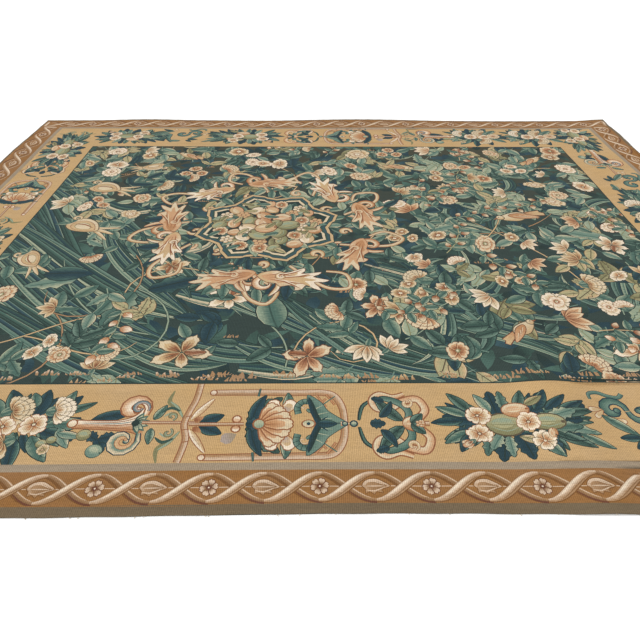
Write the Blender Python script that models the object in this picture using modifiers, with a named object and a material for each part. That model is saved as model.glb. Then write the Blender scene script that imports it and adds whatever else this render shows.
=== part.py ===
# Flat-woven tapestry rug with a wide patterned border, lying on a floor.
# Metres, +Z up. The origin is on the floor under the middle of the rug, +X runs along its
# long side and +Y points away from the near long side.
import math

import bmesh
import bpy
from mathutils import Vector

# Driving sizes of the cloth
RUG_LENGTH = 3.66
RUG_WIDTH = 2.75
CLOTH_THICKNESS = 0.003

# Mesh spacing: the flat middle is coarse, and the cloth around a ripple is halved twice
PANEL = 0.15
RIPPLE_HALVINGS = 2

# Woven edges wander by a few millimetres. Each wave runs along one edge:
# edge, crests along that edge, depth in metres, shift as a share of a wave.
EDGE_WAVES = (
    {"edge": "front", "crests": 1.75, "depth": 0.0045, "shift": 0.85},
    {"edge": "back", "crests": 2.5, "depth": 0.0045, "shift": 0.72},
    {"edge": "left", "crests": 2.0, "depth": 0.0060, "shift": 0.40},
    {"edge": "right", "crests": 3.0, "depth": 0.0060, "shift": 0.15},
)

# Ripples where the cloth stands off the floor. Each is a soft mound: its top, how far it
# reaches along and across its crest, the crest's turn from +X in degrees, and its height.
RIPPLES = (
    {"place": "near border", "x": 0.655, "y": -0.98, "along": 0.60, "across": 0.15, "turn": 92, "lift": 0.0130},
    {"place": "right far edge", "x": 1.84, "y": 1.12, "along": 0.30, "across": 0.24, "turn": 90, "lift": 0.0120},
    {"place": "right far corner", "x": 1.84, "y": 1.39, "along": 0.22, "across": 0.17, "turn": 45, "lift": 0.0100},
    {"place": "right edge middle", "x": 1.84, "y": 0.10, "along": 0.34, "across": 0.16, "turn": 90, "lift": 0.0060},
    {"place": "far edge middle", "x": 0.16, "y": 1.39, "along": 0.62, "across": 0.15, "turn": 0, "lift": 0.0080},
    {"place": "far edge left", "x": -1.18, "y": 1.39, "along": 0.34, "across": 0.14, "turn": 0, "lift": 0.0050},
    {"place": "left far edge", "x": -1.84, "y": 0.80, "along": 0.36, "across": 0.18, "turn": 90, "lift": 0.0070},
    {"place": "left near corner", "x": -1.84, "y": -1.39, "along": 0.26, "across": 0.18, "turn": 135, "lift": 0.0060},
)

WOOL_COLOUR = (0.47, 0.33, 0.17, 1.0)
WOOL_ROUGHNESS = 0.9


def clear_scene():
    """Remove whatever the open file holds."""
    for thing in list(bpy.data.objects):
        bpy.data.objects.remove(thing, do_unlink=True)


def edge_shift(edge, share):
    """How far an edge stands outwards at a share of its length."""
    shift = 0.0
    for wave in EDGE_WAVES:
        if wave["edge"] == edge:
            shift += wave["depth"] * math.sin(math.tau * (wave["crests"] * share + wave["shift"]))
    return shift


def woven_place(x, y):
    """Move a point of the true rectangle to where the wandering edges put it."""
    across = x / RUG_LENGTH + 0.5
    up = y / RUG_WIDTH + 0.5
    near_left = (1 - 2 * across) if across < 0.5 else 0.0
    near_right = (2 * across - 1) if across > 0.5 else 0.0
    near_front = (1 - 2 * up) if up < 0.5 else 0.0
    near_back = (2 * up - 1) if up > 0.5 else 0.0
    moved_x = x + near_right ** 4 * edge_shift("right", up) - near_left ** 4 * edge_shift("left", up)
    moved_y = y + near_back ** 4 * edge_shift("back", across) - near_front ** 4 * edge_shift("front", across)
    return moved_x, moved_y


def ripple_share(ripple, x, y):
    """1 on top of a ripple, falling smoothly to 0 at its foot."""
    turn = math.radians(ripple["turn"])
    dx = x - ripple["x"]
    dy = y - ripple["y"]
    along = (dx * math.cos(turn) + dy * math.sin(turn)) / ripple["along"]
    across = (dy * math.cos(turn) - dx * math.sin(turn)) / ripple["across"]
    far = along * along + across * across
    return (1 - far) ** 2 if far < 1 else 0.0


def lift(x, y):
    """Height of the cloth's underside over the floor."""
    return max(ripple["lift"] * ripple_share(ripple, x, y) for ripple in RIPPLES)


def in_ripple(x, y):
    """Whether a point lies on a ripple or close around it."""
    margin = PANEL * 0.3
    for dx in (-margin, 0.0, margin):
        for dy in (-margin, 0.0, margin):
            if lift(x + dx, y + dy) > 0:
                return True
    return False


def cloth_surface(name):
    """The underside of the rug: a grid that is finer on the ripples, then lifted over them."""
    bpy.ops.mesh.primitive_grid_add(
        x_subdivisions=round(RUG_LENGTH / PANEL),
        y_subdivisions=round(RUG_WIDTH / PANEL),
        size=1,
    )
    cloth = bpy.context.active_object
    cloth.name = name
    cloth.data.name = name

    shape = bmesh.new()
    shape.from_mesh(cloth.data)
    bmesh.ops.scale(shape, vec=Vector((RUG_LENGTH, RUG_WIDTH, 1)), verts=shape.verts)
    for _ in range(RIPPLE_HALVINGS):
        raised = set()
        for face in shape.faces:
            middle = face.calc_center_median()
            if in_ripple(middle.x, middle.y):
                raised.update(face.edges)
        bmesh.ops.subdivide_edges(shape, edges=list(raised), cuts=1, use_grid_fill=True)
    bmesh.ops.triangulate(shape, faces=shape.faces)
    for corner in shape.verts:
        x, y = woven_place(corner.co.x, corner.co.y)
        corner.co = Vector((x, y, lift(x, y)))
    shape.to_mesh(cloth.data)
    shape.free()
    return cloth


def give_thickness(cloth):
    """Thicken the cloth upwards, so that its underside keeps lying on the floor."""
    wall = cloth.modifiers.new("cloth thickness", "SOLIDIFY")
    wall.thickness = CLOTH_THICKNESS
    wall.offset = 1.0
    wall.use_even_offset = True


def wool():
    """Dull woven wool in the ground colour of the border."""
    material = bpy.data.materials.new("wool")
    material.use_nodes = True
    shader = material.node_tree.nodes["Principled BSDF"]
    shader.inputs["Base Color"].default_value = WOOL_COLOUR
    shader.inputs["Roughness"].default_value = WOOL_ROUGHNESS
    shader.inputs["Metallic"].default_value = 0.0
    return material


def build_rug():
    """One woven cloth, one solid."""
    clear_scene()
    group = bpy.data.collections.new("woven_rug")
    bpy.context.scene.collection.children.link(group)
    cloth = cloth_surface("rug_cloth")
    give_thickness(cloth)
    cloth.data.materials.append(wool())
    for holder in list(cloth.users_collection):
        holder.objects.unlink(cloth)
    group.objects.link(cloth)


build_rug()
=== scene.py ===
import math
import random
from contextlib import contextmanager

import bmesh
import bpy
import numpy as np
from mathutils import Matrix, Vector
from mathutils.geometry import delaunay_2d_cdt


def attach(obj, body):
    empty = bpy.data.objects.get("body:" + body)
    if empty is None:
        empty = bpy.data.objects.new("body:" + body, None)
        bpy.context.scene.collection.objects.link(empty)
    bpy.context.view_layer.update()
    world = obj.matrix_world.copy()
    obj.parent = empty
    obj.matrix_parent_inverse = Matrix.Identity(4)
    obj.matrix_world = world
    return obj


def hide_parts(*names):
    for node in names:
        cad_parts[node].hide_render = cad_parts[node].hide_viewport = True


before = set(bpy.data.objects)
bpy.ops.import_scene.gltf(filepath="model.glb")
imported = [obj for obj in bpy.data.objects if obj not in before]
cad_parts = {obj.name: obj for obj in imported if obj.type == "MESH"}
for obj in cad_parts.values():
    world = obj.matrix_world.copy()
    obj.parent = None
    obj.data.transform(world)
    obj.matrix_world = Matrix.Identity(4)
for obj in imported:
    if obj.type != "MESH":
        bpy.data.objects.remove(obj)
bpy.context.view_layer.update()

# The camera stands in front of the near long side, a little left of the middle, at
# chest height, and looks down across the whole rug through a wide lens.
CAMERA_PLACE = (-0.0702, -1.9997, 1.1899)
CAMERA_DOWN = math.radians(41.03)
CAMERA_TURN = math.radians(-0.59)
CAMERA_ROLL = math.radians(0.33)
CAMERA_LENS = 28.26

lens = bpy.data.cameras.new("camera")
lens.lens = CAMERA_LENS
lens.sensor_width = 36.0
lens.clip_end = 60.0
camera = bpy.data.objects.new("camera", lens)
bpy.context.scene.collection.objects.link(camera)
camera.matrix_world = (
    Matrix.Translation(CAMERA_PLACE)
    @ Matrix.Rotation(CAMERA_TURN, 4, "Z")
    @ Matrix.Rotation(math.pi / 2 - CAMERA_DOWN, 4, "X")
    @ Matrix.Rotation(CAMERA_ROLL, 4, "Z")
)
bpy.context.scene.camera = camera

# A plain white studio floor that lies a hair below the cloth, so that the two never share
# a face. The light is soft and white: an even glow from all round, a wide window at the
# left, and a weak square lamp in front.
FLOOR_SIZE = 40.0
FLOOR_DROP = 0.0004
FLOOR_WHITE = (0.99, 0.99, 0.99, 1)
GLOW_WHITE = (1, 1, 1, 1)
GLOW_STRENGTH = 0.80
WINDOW_POWER = 2.3
WINDOW_SPREAD = 0.6
WINDOW_HEADING = (5.0, -0.8, -3.0)
LAMP_SIZE = 3.0
LAMP_WATTS = 40
LAMP_PLACE = (1.5, -5.0, 3.5)
LAMP_HEADING = (-1.5, 4.5, -3.5)

bpy.ops.object.select_all(action="DESELECT")
bpy.ops.mesh.primitive_plane_add(size=FLOOR_SIZE, location=(0, 0, -FLOOR_DROP))
floor = bpy.context.active_object
floor.name = "studio_floor"
floor_paint = bpy.data.materials.new("studio_floor_white")
floor_paint.use_nodes = True
floor_shader = floor_paint.node_tree.nodes["Principled BSDF"]
floor_shader.inputs["Base Color"].default_value = FLOOR_WHITE
floor_shader.inputs["Roughness"].default_value = 0.8
floor_shader.inputs["Specular IOR Level"].default_value = 0.1
floor.data.materials.append(floor_paint)

world = bpy.data.worlds.new("studio_air")
world.use_nodes = True
glow = world.node_tree.nodes["Background"]
glow.inputs["Color"].default_value = GLOW_WHITE
glow.inputs["Strength"].default_value = GLOW_STRENGTH
bpy.context.scene.world = world

# The plain view keeps the floor white and every dye as bright as it is given.
bpy.context.scene.view_settings.view_transform = "Standard"


def hang_light(light, place, heading):
    """Put a light at its place, turned to shine along a heading."""
    holder = bpy.data.objects.new(light.name, light)
    holder.location = place
    holder.rotation_euler = Vector(heading).to_track_quat("-Z", "Y").to_euler()
    bpy.context.scene.collection.objects.link(holder)


window = bpy.data.lights.new("window_light", "SUN")
window.energy = WINDOW_POWER
window.angle = WINDOW_SPREAD
hang_light(window, (0, 0, 0), WINDOW_HEADING)
front_lamp = bpy.data.lights.new("front_fill", "AREA")
front_lamp.shape = "SQUARE"
front_lamp.size = LAMP_SIZE
front_lamp.energy = LAMP_WATTS
hang_light(front_lamp, LAMP_PLACE, LAMP_HEADING)

# How the cloth lies. The rug is one flat-woven sheet of wool, 3.66 m by 2.75 m and 3 mm
# thick. Its woven edges wander by a few millimetres, and low ripples lift it off the floor
# at the near border and along the edges, in the same places as in the solid.
RUG_LENGTH = 3.66
RUG_WIDTH = 2.75
CLOTH_THICKNESS = 0.003

# Each edge's waves: crests along the edge, depth, and start as a share of a wave.
EDGE_WAVES = {
    "front": ((1.75, 0.0045, 0.85), (19.0, 0.0006, 0.60)),
    "back": ((2.5, 0.0045, 0.72), (47.0, 0.0012, 0.20)),
    "left": ((2.0, 0.0060, 0.40), (21.0, 0.0007, 0.10)),
    "right": ((3.0, 0.0060, 0.15), (23.0, 0.0009, 0.45)),
}

# Each ripple: its top in x and y, its reach along and across its crest, the crest's turn
# from +X in degrees, and its height.
RIPPLES = (
    (0.655, -0.98, 0.60, 0.15, 92, 0.0130),
    (1.84, 1.12, 0.30, 0.24, 90, 0.0120),
    (1.84, 1.39, 0.22, 0.17, 45, 0.0100),
    (1.84, 0.10, 0.34, 0.16, 90, 0.0060),
    (0.16, 1.39, 0.62, 0.15, 0, 0.0080),
    (-1.18, 1.39, 0.34, 0.14, 0, 0.0050),
    (-1.84, 0.80, 0.36, 0.18, 90, 0.0070),
    (-1.84, -1.39, 0.26, 0.18, 135, 0.0060),
)
RIPPLE_MARGIN = 0.07


def edge_shift(edge, share):
    """How far an edge stands outwards at a share of its length."""
    shift = np.zeros_like(share)
    for crests, depth, start in EDGE_WAVES[edge]:
        shift += depth * np.sin(math.tau * (crests * share + start))
    return shift


def over_ripple(ripple, x, y, margin=0.0):
    """Places seen from a ripple's top, along and across its crest, as shares of its reach."""
    top_x, top_y, long, wide, degrees, _ = ripple
    turn = math.radians(degrees)
    dx, dy = x - top_x, y - top_y
    along = (dx * math.cos(turn) + dy * math.sin(turn)) / (long + margin)
    across = (dy * math.cos(turn) - dx * math.sin(turn)) / (wide + margin)
    return along, across


def lift(x, y):
    """Height of the cloth's underside over the floor."""
    height = np.zeros_like(x)
    for ripple in RIPPLES:
        along, across = over_ripple(ripple, x, y)
        inside = np.clip(1 - along * along - across * across, 0, 1)
        height = np.maximum(height, ripple[-1] * inside ** 2)
    return height


def near_ripple(x, y):
    """Whether points lie on a ripple or close round its foot."""
    close = np.zeros(len(x), dtype=bool)
    for ripple in RIPPLES:
        along, across = over_ripple(ripple, x, y, RIPPLE_MARGIN)
        close |= along * along + across * across < 1
    return close


def lay_out(flat, above):
    """Take flat points of the true rectangle to their places on the lying cloth."""
    x, y = flat[:, 0], flat[:, 1]
    across = x / RUG_LENGTH + 0.5
    up = y / RUG_WIDTH + 0.5
    near_left = np.clip(1 - 2 * across, 0, 1) ** 4
    near_right = np.clip(2 * across - 1, 0, 1) ** 4
    near_front = np.clip(1 - 2 * up, 0, 1) ** 4
    near_back = np.clip(2 * up - 1, 0, 1) ** 4
    moved_x = x + near_right * edge_shift("right", up) - near_left * edge_shift("left", up)
    moved_y = y + near_back * edge_shift("back", across) - near_front * edge_shift("front", across)
    return np.column_stack((moved_x, moved_y, lift(moved_x, moved_y) + above))


# The weaver's cartoon: a full-size drawing of coloured patches, later ones on top, that
# the whole rug is woven from. Each patch has two yarns, hatched into each other from a
# start point to an end point, as tapestry weavers blend their tones.
DYES = {
    "earth": "#434438",
    "ground": "#35423e",
    "night": "#2b3936",
    "umber": "#584d3c",
    "navy": "#2a3f46",
    "blue": "#3a5257",
    "steel": "#5a7478",
    "pine": "#3a5048",
    "teal": "#4a655b",
    "sea": "#687f71",
    "sage": "#8b9881",
    "pale_sage": "#aaab8e",
    "olive": "#7b7856",
    "olive_light": "#a19b75",
    "cream": "#cdba9a",
    "ivory": "#deceb6",
    "sand": "#bea178",
    "ochre": "#ba996b",
    "peach": "#c09670",
    "apricot": "#ae7f58",
    "rust": "#8b5a3d",
    "maroon": "#684231",
    "lilac": "#a3948a",
    "ribbon": "#c6ad93",
    "ribbon_dim": "#9f7d5b",
    "ribbon_low": "#866545",
    "tobacco": "#8e653b",
    "tobacco_dark": "#75502d",
    "dove": "#968671",
    "guard": "#6f604b",
    "guard_dark": "#5f543f",
}


def linear(dye):
    """The scene-linear colour of a named dye, by the usual screen curve."""
    code = DYES[dye].lstrip("#")
    shares = [int(code[i:i + 2], 16) / 255 for i in (0, 2, 4)]
    return [s / 12.92 if s < 0.04045 else ((s + 0.055) / 1.055) ** 2.4 for s in shares]


DYE_NUMBER = {name: number for number, name in enumerate(DYES)}
DYE_TABLE = np.array([linear(name) for name in DYES])

# Patches under this area and edges under this length are left out.
LEAST_PATCH = 4e-7
LEAST_EDGE = 3e-5


def turn_of(a, b, c):
    """Positive when a, b, c turn left."""
    return (b[0] - a[0]) * (c[1] - a[1]) - (b[1] - a[1]) * (c[0] - a[0])


def crosses_itself(points):
    """Whether two edges of an outline cross."""
    count = len(points)
    for i in range(count - 2):
        a, b = points[i], points[i + 1]
        for j in range(i + 2, count - (i == 0)):
            c, d = points[j], points[(j + 1) % count]
            if turn_of(a, b, c) * turn_of(a, b, d) < 0 and turn_of(c, d, a) * turn_of(c, d, b) < 0:
                return True
    return False


def hull(points):
    """The tight outline round some points, turning left."""
    rims = []
    for order in (sorted(points), sorted(points, reverse=True)):
        rim = []
        for point in order:
            while len(rim) > 1 and turn_of(rim[-2], rim[-1], point) <= 0:
                rim.pop()
            rim.append(point)
        rims += rim[:-1]
    return rims


def area_of(points):
    """Area inside an outline, positive when it turns left."""
    return 0.5 * sum(x0 * y1 - x1 * y0 for (x0, y0), (x1, y1) in zip(points, points[1:] + points[:1]))


def tidy_outline(points):
    """Drop doubled points, untangle crossed outlines and turn the outline left."""
    kept = []
    for point in points:
        if not kept or math.dist(point, kept[-1]) > LEAST_EDGE:
            kept.append(point)
    while len(kept) > 1 and math.dist(kept[0], kept[-1]) <= LEAST_EDGE:
        kept.pop()
    if len(kept) > 3 and crosses_itself(kept):
        kept = hull(kept)
    if len(kept) < 3:
        return None
    area = area_of(kept)
    if abs(area) < LEAST_PATCH:
        return None
    return kept if area > 0 else kept[::-1]


class Cartoon:
    """Layers of patches. A place says where and how large the next motif is drawn."""

    def __init__(self):
        self.layers = {}
        self.layer = 0
        self.place = (1.0, 0.0, 0.0, 1.0, 0.0, 0.0)

    @contextmanager
    def at(self, x, y, size=1.0, turn=0.0, flip=1, squash=1.0):
        """Draw in local units, moved, turned by degrees, scaled, mirrored and squashed."""
        outer = self.place
        a, b, c, d, e, f = outer
        cos, sin = size * math.cos(math.radians(turn)), size * math.sin(math.radians(turn))
        self.place = (
            a * cos + b * sin,
            (b * cos - a * sin) * flip * squash,
            c * cos + d * sin,
            (d * cos - c * sin) * flip * squash,
            a * x + b * y + e,
            c * x + d * y + f,
        )
        yield
        self.place = outer

    def put(self, point):
        """Where a point in local units lies on the rug."""
        a, b, c, d, e, f = self.place
        return (a * point[0] + b * point[1] + e, c * point[0] + d * point[1] + f)

    def patch(self, outline, yarn, second=None, start=None, end=None):
        """One patch, given by its outline. Its yarns run from start to end."""
        points = tidy_outline([self.put(point) for point in outline])
        if points is None:
            return
        first = self.put(start) if start else points[0]
        last = self.put(end) if end else (first[0] + 1.0, first[1])
        look = (DYE_NUMBER[yarn], DYE_NUMBER[second or yarn], *first, *last)
        self.layers.setdefault(self.layer, []).append((points, look))


cartoon = Cartoon()


def rectangle(left, low, right, high):
    """The outline of a box."""
    return [(left, low), (right, low), (right, high), (left, high)]


def smooth(points, steps=6, closed=False):
    """A round curve through a few points."""
    ring = list(points)
    if closed:
        ring = [ring[-1]] + ring + ring[:2]
    else:
        ring = [ring[0]] + ring + [ring[-1]]
    path = []
    for k in range(1, len(ring) - 2):
        p0, p1, p2, p3 = ring[k - 1:k + 3]
        for step in range(steps):
            t = step / steps
            path.append(tuple(
                0.5 * (2 * b + (c - a) * t + (2 * a - 5 * b + 4 * c - d) * t * t
                       + (3 * b - a - 3 * c + d) * t ** 3)
                for a, b, c, d in zip(p0, p1, p2, p3)
            ))
    if not closed:
        path.append(tuple(ring[-2]))
    return path


def sides(path, left, right):
    """The two rims of a strip that runs along a path, left[i] and right[i] wide."""
    above, below = [], []
    for k, (x, y) in enumerate(path):
        x0, y0 = path[max(k - 1, 0)]
        x1, y1 = path[min(k + 1, len(path) - 1)]
        run = math.hypot(x1 - x0, y1 - y0) or 1.0
        nx, ny = (y0 - y1) / run, (x1 - x0) / run
        above.append((x + nx * left[k], y + ny * left[k]))
        below.append((x - nx * right[k], y - ny * right[k]))
    return above, below


def strip(path, left, right, yarn, second=None):
    """A strip of yarn along a path, its yarns hatched from its right rim to its left."""
    above, below = sides(path, left, right)
    if not second:
        whole = [cartoon.put(point) for point in above + below[::-1]]
        if not crosses_itself(whole):
            cartoon.patch(above + below[::-1], yarn)
            return
    for k in range(len(path) - 1):
        low = ((below[k][0] + below[k + 1][0]) / 2, (below[k][1] + below[k + 1][1]) / 2)
        high = ((above[k][0] + above[k + 1][0]) / 2, (above[k][1] + above[k + 1][1]) / 2)
        quad = [below[k], below[k + 1], above[k + 1], above[k]]
        cartoon.patch(quad, yarn, second, low, high)


def grown(outline, rim):
    """The same outline pushed outwards."""
    count = len(outline)
    hand = 1 if area_of(outline) > 0 else -1
    ring = []
    for k in range(count):
        (x0, y0), (x1, y1), (x2, y2) = outline[k - 1], outline[k], outline[(k + 1) % count]
        run = math.hypot(x2 - x0, y2 - y0) or 1.0
        ring.append((x1 + hand * rim * (y2 - y0) / run, y1 - hand * rim * (x2 - x0) / run))
    return ring


def taper(count, start, middle, end):
    """Half widths that go from start through middle to end along a path."""
    widths = []
    for k in range(count):
        t = k / (count - 1)
        bell = math.sin(math.pi * t)
        widths.append((start * (1 - t) + end * t) * (1 - bell) + middle * bell)
    return widths


def line(path, start, middle, end, yarn, second=None):
    """A drawn line whose width swells and thins."""
    half = [w / 2 for w in taper(len(path), start, middle, end)]
    strip(path, half, half, yarn, second)


def edged(path, start, middle, end, edge_width, edge, yarn, second=None):
    """A band with a darker edge all along it."""
    wider = [w + 2 * edge_width for w in (start, middle, end)]
    line(path, *wider, edge)
    line(path, start, middle, end, yarn, second)


def around(angle, across, up):
    """A place on an oval, seen from its middle."""
    return across * math.cos(angle), up * math.sin(angle)


def disc(x, y, radius, yarn, second=None, count=10, squash=1.0):
    """A round or oval patch, hatched from its low side to its high one."""
    rim = [around(math.tau * k / count, radius, squash * radius) for k in range(count)]
    ring = [(x + dx, y + dy) for dx, dy in rim]
    cartoon.patch(ring, yarn, second, (x, y - radius * squash), (x, y + radius * squash))


# The guard and the ribbon band. The outermost stripe is plain brown-grey wool, broad on
# the near side and thin elsewhere. Inside it runs a tobacco band with two ribbons twisted
# round each other, and a six-petalled rosette or a leaf bud lies in each eye by turns.
GUARD = {"front": 0.028, "right": 0.018, "left": 0.009, "back": 0.010}
GUARD_OVERHANG = 0.01
RIBBON_BAND_INSET = 0.126
RIBBON_AXIS = {"front": 0.0755, "right": 0.0725, "left": 0.0675, "back": 0.0685}
LONG_RIBBON_END = 0.02
SIDE_RIBBON_END = 0.13
TWIST = 0.1452
TWIST_HALF = 0.0395
TWIST_PLAY = 0.004
AXIS_LINE = 0.0022
EYE_MARGIN = 0.03
BAND_LAYER = 4
RIBBON_LAYER = 5

half_length, half_width = RUG_LENGTH / 2, RUG_WIDTH / 2


def band(outer, inner, yarn):
    """A stripe all round the rug between two boxes, each given as left, low, right, high."""
    cartoon.patch(rectangle(outer[0], outer[1], outer[2], inner[1]), yarn)
    cartoon.patch(rectangle(outer[0], inner[3], outer[2], outer[3]), yarn)
    cartoon.patch(rectangle(outer[0], inner[1], inner[0], inner[3]), yarn)
    cartoon.patch(rectangle(inner[2], inner[1], outer[2], inner[3]), yarn)


def inset_box(inset):
    """The rug's own box, drawn in on all sides, as left, low, right, high."""
    return (-half_length + inset, -half_width + inset, half_length - inset, half_width - inset)


GUARD_INSIDE = (
    -half_length + GUARD["left"], -half_width + GUARD["front"],
    half_length - GUARD["right"], half_width - GUARD["back"],
)
cartoon.layer = BAND_LAYER
band(inset_box(-GUARD_OVERHANG), GUARD_INSIDE, "guard")
band(GUARD_INSIDE, inset_box(RIBBON_BAND_INSET), "tobacco")


def ribbon_rosette():
    """A six-petalled rosette with a dark heart, drawn 1 unit wide."""
    for k in range(6):
        with cartoon.at(0, 0, 1, 60 * k + 12):
            rim = [(0.06, -0.04), (0.24, -0.14), (0.42, -0.18), (0.52, -0.09), (0.47, 0.0), (0.53, 0.08),
                   (0.42, 0.18), (0.24, 0.14), (0.06, 0.04)]
            cartoon.patch(grown(rim, 0.05), "maroon" if k % 2 else "tobacco_dark")
            cartoon.patch(rim, "ribbon_low", "ribbon", (0.12, 0), (0.44, 0))
    disc(0, 0, 0.17, "maroon", count=8)
    disc(0, 0, 0.055, "ivory", count=6)


def ribbon_bud():
    """A leaf bud that points along the band, drawn 1 unit long."""
    rim = smooth([(-0.50, 0.02), (-0.40, 0.20), (-0.20, 0.29), (0.05, 0.29), (0.30, 0.16), (0.54, 0.0),
                  (0.34, -0.08), (0.20, -0.16), (0.26, -0.27), (0.02, -0.22), (-0.06, -0.33), (-0.22, -0.22),
                  (-0.38, -0.28), (-0.38, -0.10)], 2, True)
    cartoon.patch(grown(rim, 0.035), "tobacco_dark")
    cartoon.patch(rim, "ribbon", "ribbon_dim", (0, 0.3), (0, -0.3))
    heart = [(x * 0.78 + 0.01, y * 0.70) for x, y in rim]
    cartoon.patch(heart, "ribbon_dim", "ribbon_low", (-0.4, 0.1), (0.4, -0.1))
    for rise in (0.12, 0.0, -0.12):
        line(smooth([(-0.34, rise * 1.3), (-0.05, rise * 1.7), (0.34, rise * 0.3)], 2), 0.02, 0.05, 0.01,
             "ribbon")


def twisted_ribbons(length, first_eye, start):
    """One run of the band along +X from 0. Start is its first crossing, and first_eye picks the filling."""
    eyes = int((length - start) / TWIST) + 2
    wobble = random.Random(first_eye)
    line([(0, 0), (length, 0)], AXIS_LINE, AXIS_LINE, AXIS_LINE, "ribbon")
    places = [start + k * TWIST + wobble.uniform(-TWIST_PLAY, TWIST_PLAY) for k in range(-1, eyes)]
    for falling in (True, False):
        for crossing in places:
            path = []
            for step in range(11):
                t = -0.5 + step / 10
                rise = math.sin(math.pi * t) * TWIST_HALF
                path.append((crossing + t * TWIST * 1.03, -rise if falling else rise))
            path = [(min(max(x, 0), length), y) for x, y in path]
            if falling:
                line([(x - 0.001, y - 0.0035) for x, y in path], 0.008, 0.022, 0.008, "tobacco_dark")
                line([(x, y - 0.0042) for x, y in path[4:]], 0.002, 0.013, 0.010, "maroon")
                line([(x, y + 0.0005) for x, y in path], 0.007, 0.0135, 0.007, "ribbon_low", "ribbon_dim")
                line([(x, y + 0.0050) for x, y in path[1:-1]], 0.001, 0.0028, 0.001, "ribbon")
            else:
                line([(x, y - 0.001) for x, y in path], 0.009, 0.0265, 0.011, "tobacco_dark")
                line(path, 0.007, 0.0225, 0.008, "ribbon_dim", "ribbon")
                line([(x - 0.0015, y + 0.004) for x, y in path[2:-2]], 0.001, 0.0095, 0.001, "ribbon",
                     "ivory")
                line([(x + 0.002, y - 0.006) for x, y in path[2:-1]], 0.001, 0.0030, 0.001, "ribbon_low")
    for k in range(len(places) - 1):
        middle = (places[k] + places[k + 1]) / 2
        if EYE_MARGIN < middle < length - EYE_MARGIN:
            if (k + first_eye) % 2:
                with cartoon.at(middle - 0.002, 0, 0.046):
                    ribbon_rosette()
            else:
                with cartoon.at(middle, 0, 0.070):
                    ribbon_bud()


cartoon.layer = RIBBON_LAYER
with cartoon.at(-half_length + LONG_RIBBON_END, -half_width + RIBBON_AXIS["front"]):
    twisted_ribbons(RUG_LENGTH - 2 * LONG_RIBBON_END, 1, 0.082)
with cartoon.at(half_length - LONG_RIBBON_END, half_width - RIBBON_AXIS["back"], 1, 180):
    twisted_ribbons(RUG_LENGTH - 2 * LONG_RIBBON_END, 0, 0.06)
with cartoon.at(-half_length + RIBBON_AXIS["left"], half_width - SIDE_RIBBON_END, 1, -90):
    twisted_ribbons(RUG_WIDTH - 2 * SIDE_RIBBON_END, 0, 0.05)
with cartoon.at(half_length - RIBBON_AXIS["right"], -half_width + SIDE_RIBBON_END, 1, 90):
    twisted_ribbons(RUG_WIDTH - 2 * SIDE_RIBBON_END, 0, 0.05)

# The grey stripe and the ochre ground of the main border. Each is a plain band in one dye,
# woven in the same go as the ribbon band, and the ochre runs under all that is drawn on it.
BORDER_INSET = 0.149
FIELD_INSET = 0.4345
OCHRE_LAYER = 0

cartoon.layer = BAND_LAYER
band(inset_box(RIBBON_BAND_INSET), inset_box(BORDER_INSET), "dove")
cartoon.layer = OCHRE_LAYER
cartoon.patch(rectangle(*inset_box(0.0)), "ochre")

# Leaves, flowers and fruit that both the border and the field are drawn with, in small
# flat patches of dyed wool. A leaf's tones are its edge, its dark half, its light half,
# its ribs and veins, and the light along one side.
TEAL_LEAF = ("night", "pine", "sea", "night", "sea")
SEA_LEAF = ("night", "teal", "sage", "pine", "pale_sage")
SAGE_LEAF = ("night", "sea", "pale_sage", "teal", "cream")
PALE_LEAF = ("pine", "sage", "pale_sage", "olive", "cream")
BLUE_LEAF = ("night", "navy", "teal", "night", "sea")
NAVY_LEAF = ("night", "navy", "blue", "night", "teal")
OLIVE_LEAF = ("umber", "olive", "olive_light", "umber", "sand")
TAN_LEAF = ("umber", "olive_light", "sand", "umber", "cream")


def leaf_shape(t, belly):
    """A leaf's half width at a share of its length, widest at the belly."""
    return math.sin(math.pi * t ** (math.log(0.5) / math.log(belly))) ** 0.85


def leaf(x, y, length, width, turn, tones, bend=0.0, belly=0.42, teeth=0, veins=0):
    """A leaf from its foot: dark edge, two halves hatched to light, a midrib and veins."""
    edge, dark, light, rib, shine = tones
    count = 2 * teeth + 3 if teeth else 7
    with cartoon.at(x, y, length, turn):
        path = [(t, bend * t * t) for t in (k / (count - 1) for k in range(count))]
        half = []
        for k in range(count):
            t = k / (count - 1)
            spread = 0.5 * width / length * leaf_shape(min(max(t, 0.001), 0.999), belly)
            if teeth and 0 < k < count - 1:
                spread *= 1.0 if k % 2 else 0.66
            half.append(spread)
        rim = 0.0018 / length + 0.03 * width / length
        outer = [w + rim for w in half]
        above, below = sides(path, outer, outer)
        cartoon.patch(above + below[::-1], edge)
        above, below = sides(path, half, half)
        mid = (0.45, bend * 0.2)
        reach = 0.5 * width / length
        lit = (mid[0] - bend * reach, mid[1] + reach)
        deep = (mid[0] + 1.6 * bend * reach, mid[1] - 1.6 * reach)
        cartoon.patch(path + above[::-1], light, dark, lit, mid)
        cartoon.patch(path + below[::-1], dark, light, mid, deep)
        for k in range(veins):
            t = 0.22 + 0.55 * k / max(veins - 1, 1)
            spread = 0.42 * width / length * leaf_shape(t, belly)
            foot = (t, bend * t * t)
            for side in (-1, 1):
                tip = (t + 0.14, foot[1] + side * spread)
                line([foot, tip], 0.024, 0.018, 0.006, rib)
        thick = 0.05 * width / length + 0.0010 / length
        spine = path[:-1]
        above, below = sides(spine, [thick] * len(spine), [0] * len(spine))
        cartoon.patch(above + below[::-1], rib)
        if width > 0.022 and length > 0.5 * width and not teeth:
            above, _ = sides(path, half, half)
            inner, _ = sides(path, [max(w - 0.0024 / length, 0) for w in half], half)
            cartoon.patch(above[1:-1] + inner[1:-1][::-1], shine)


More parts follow.
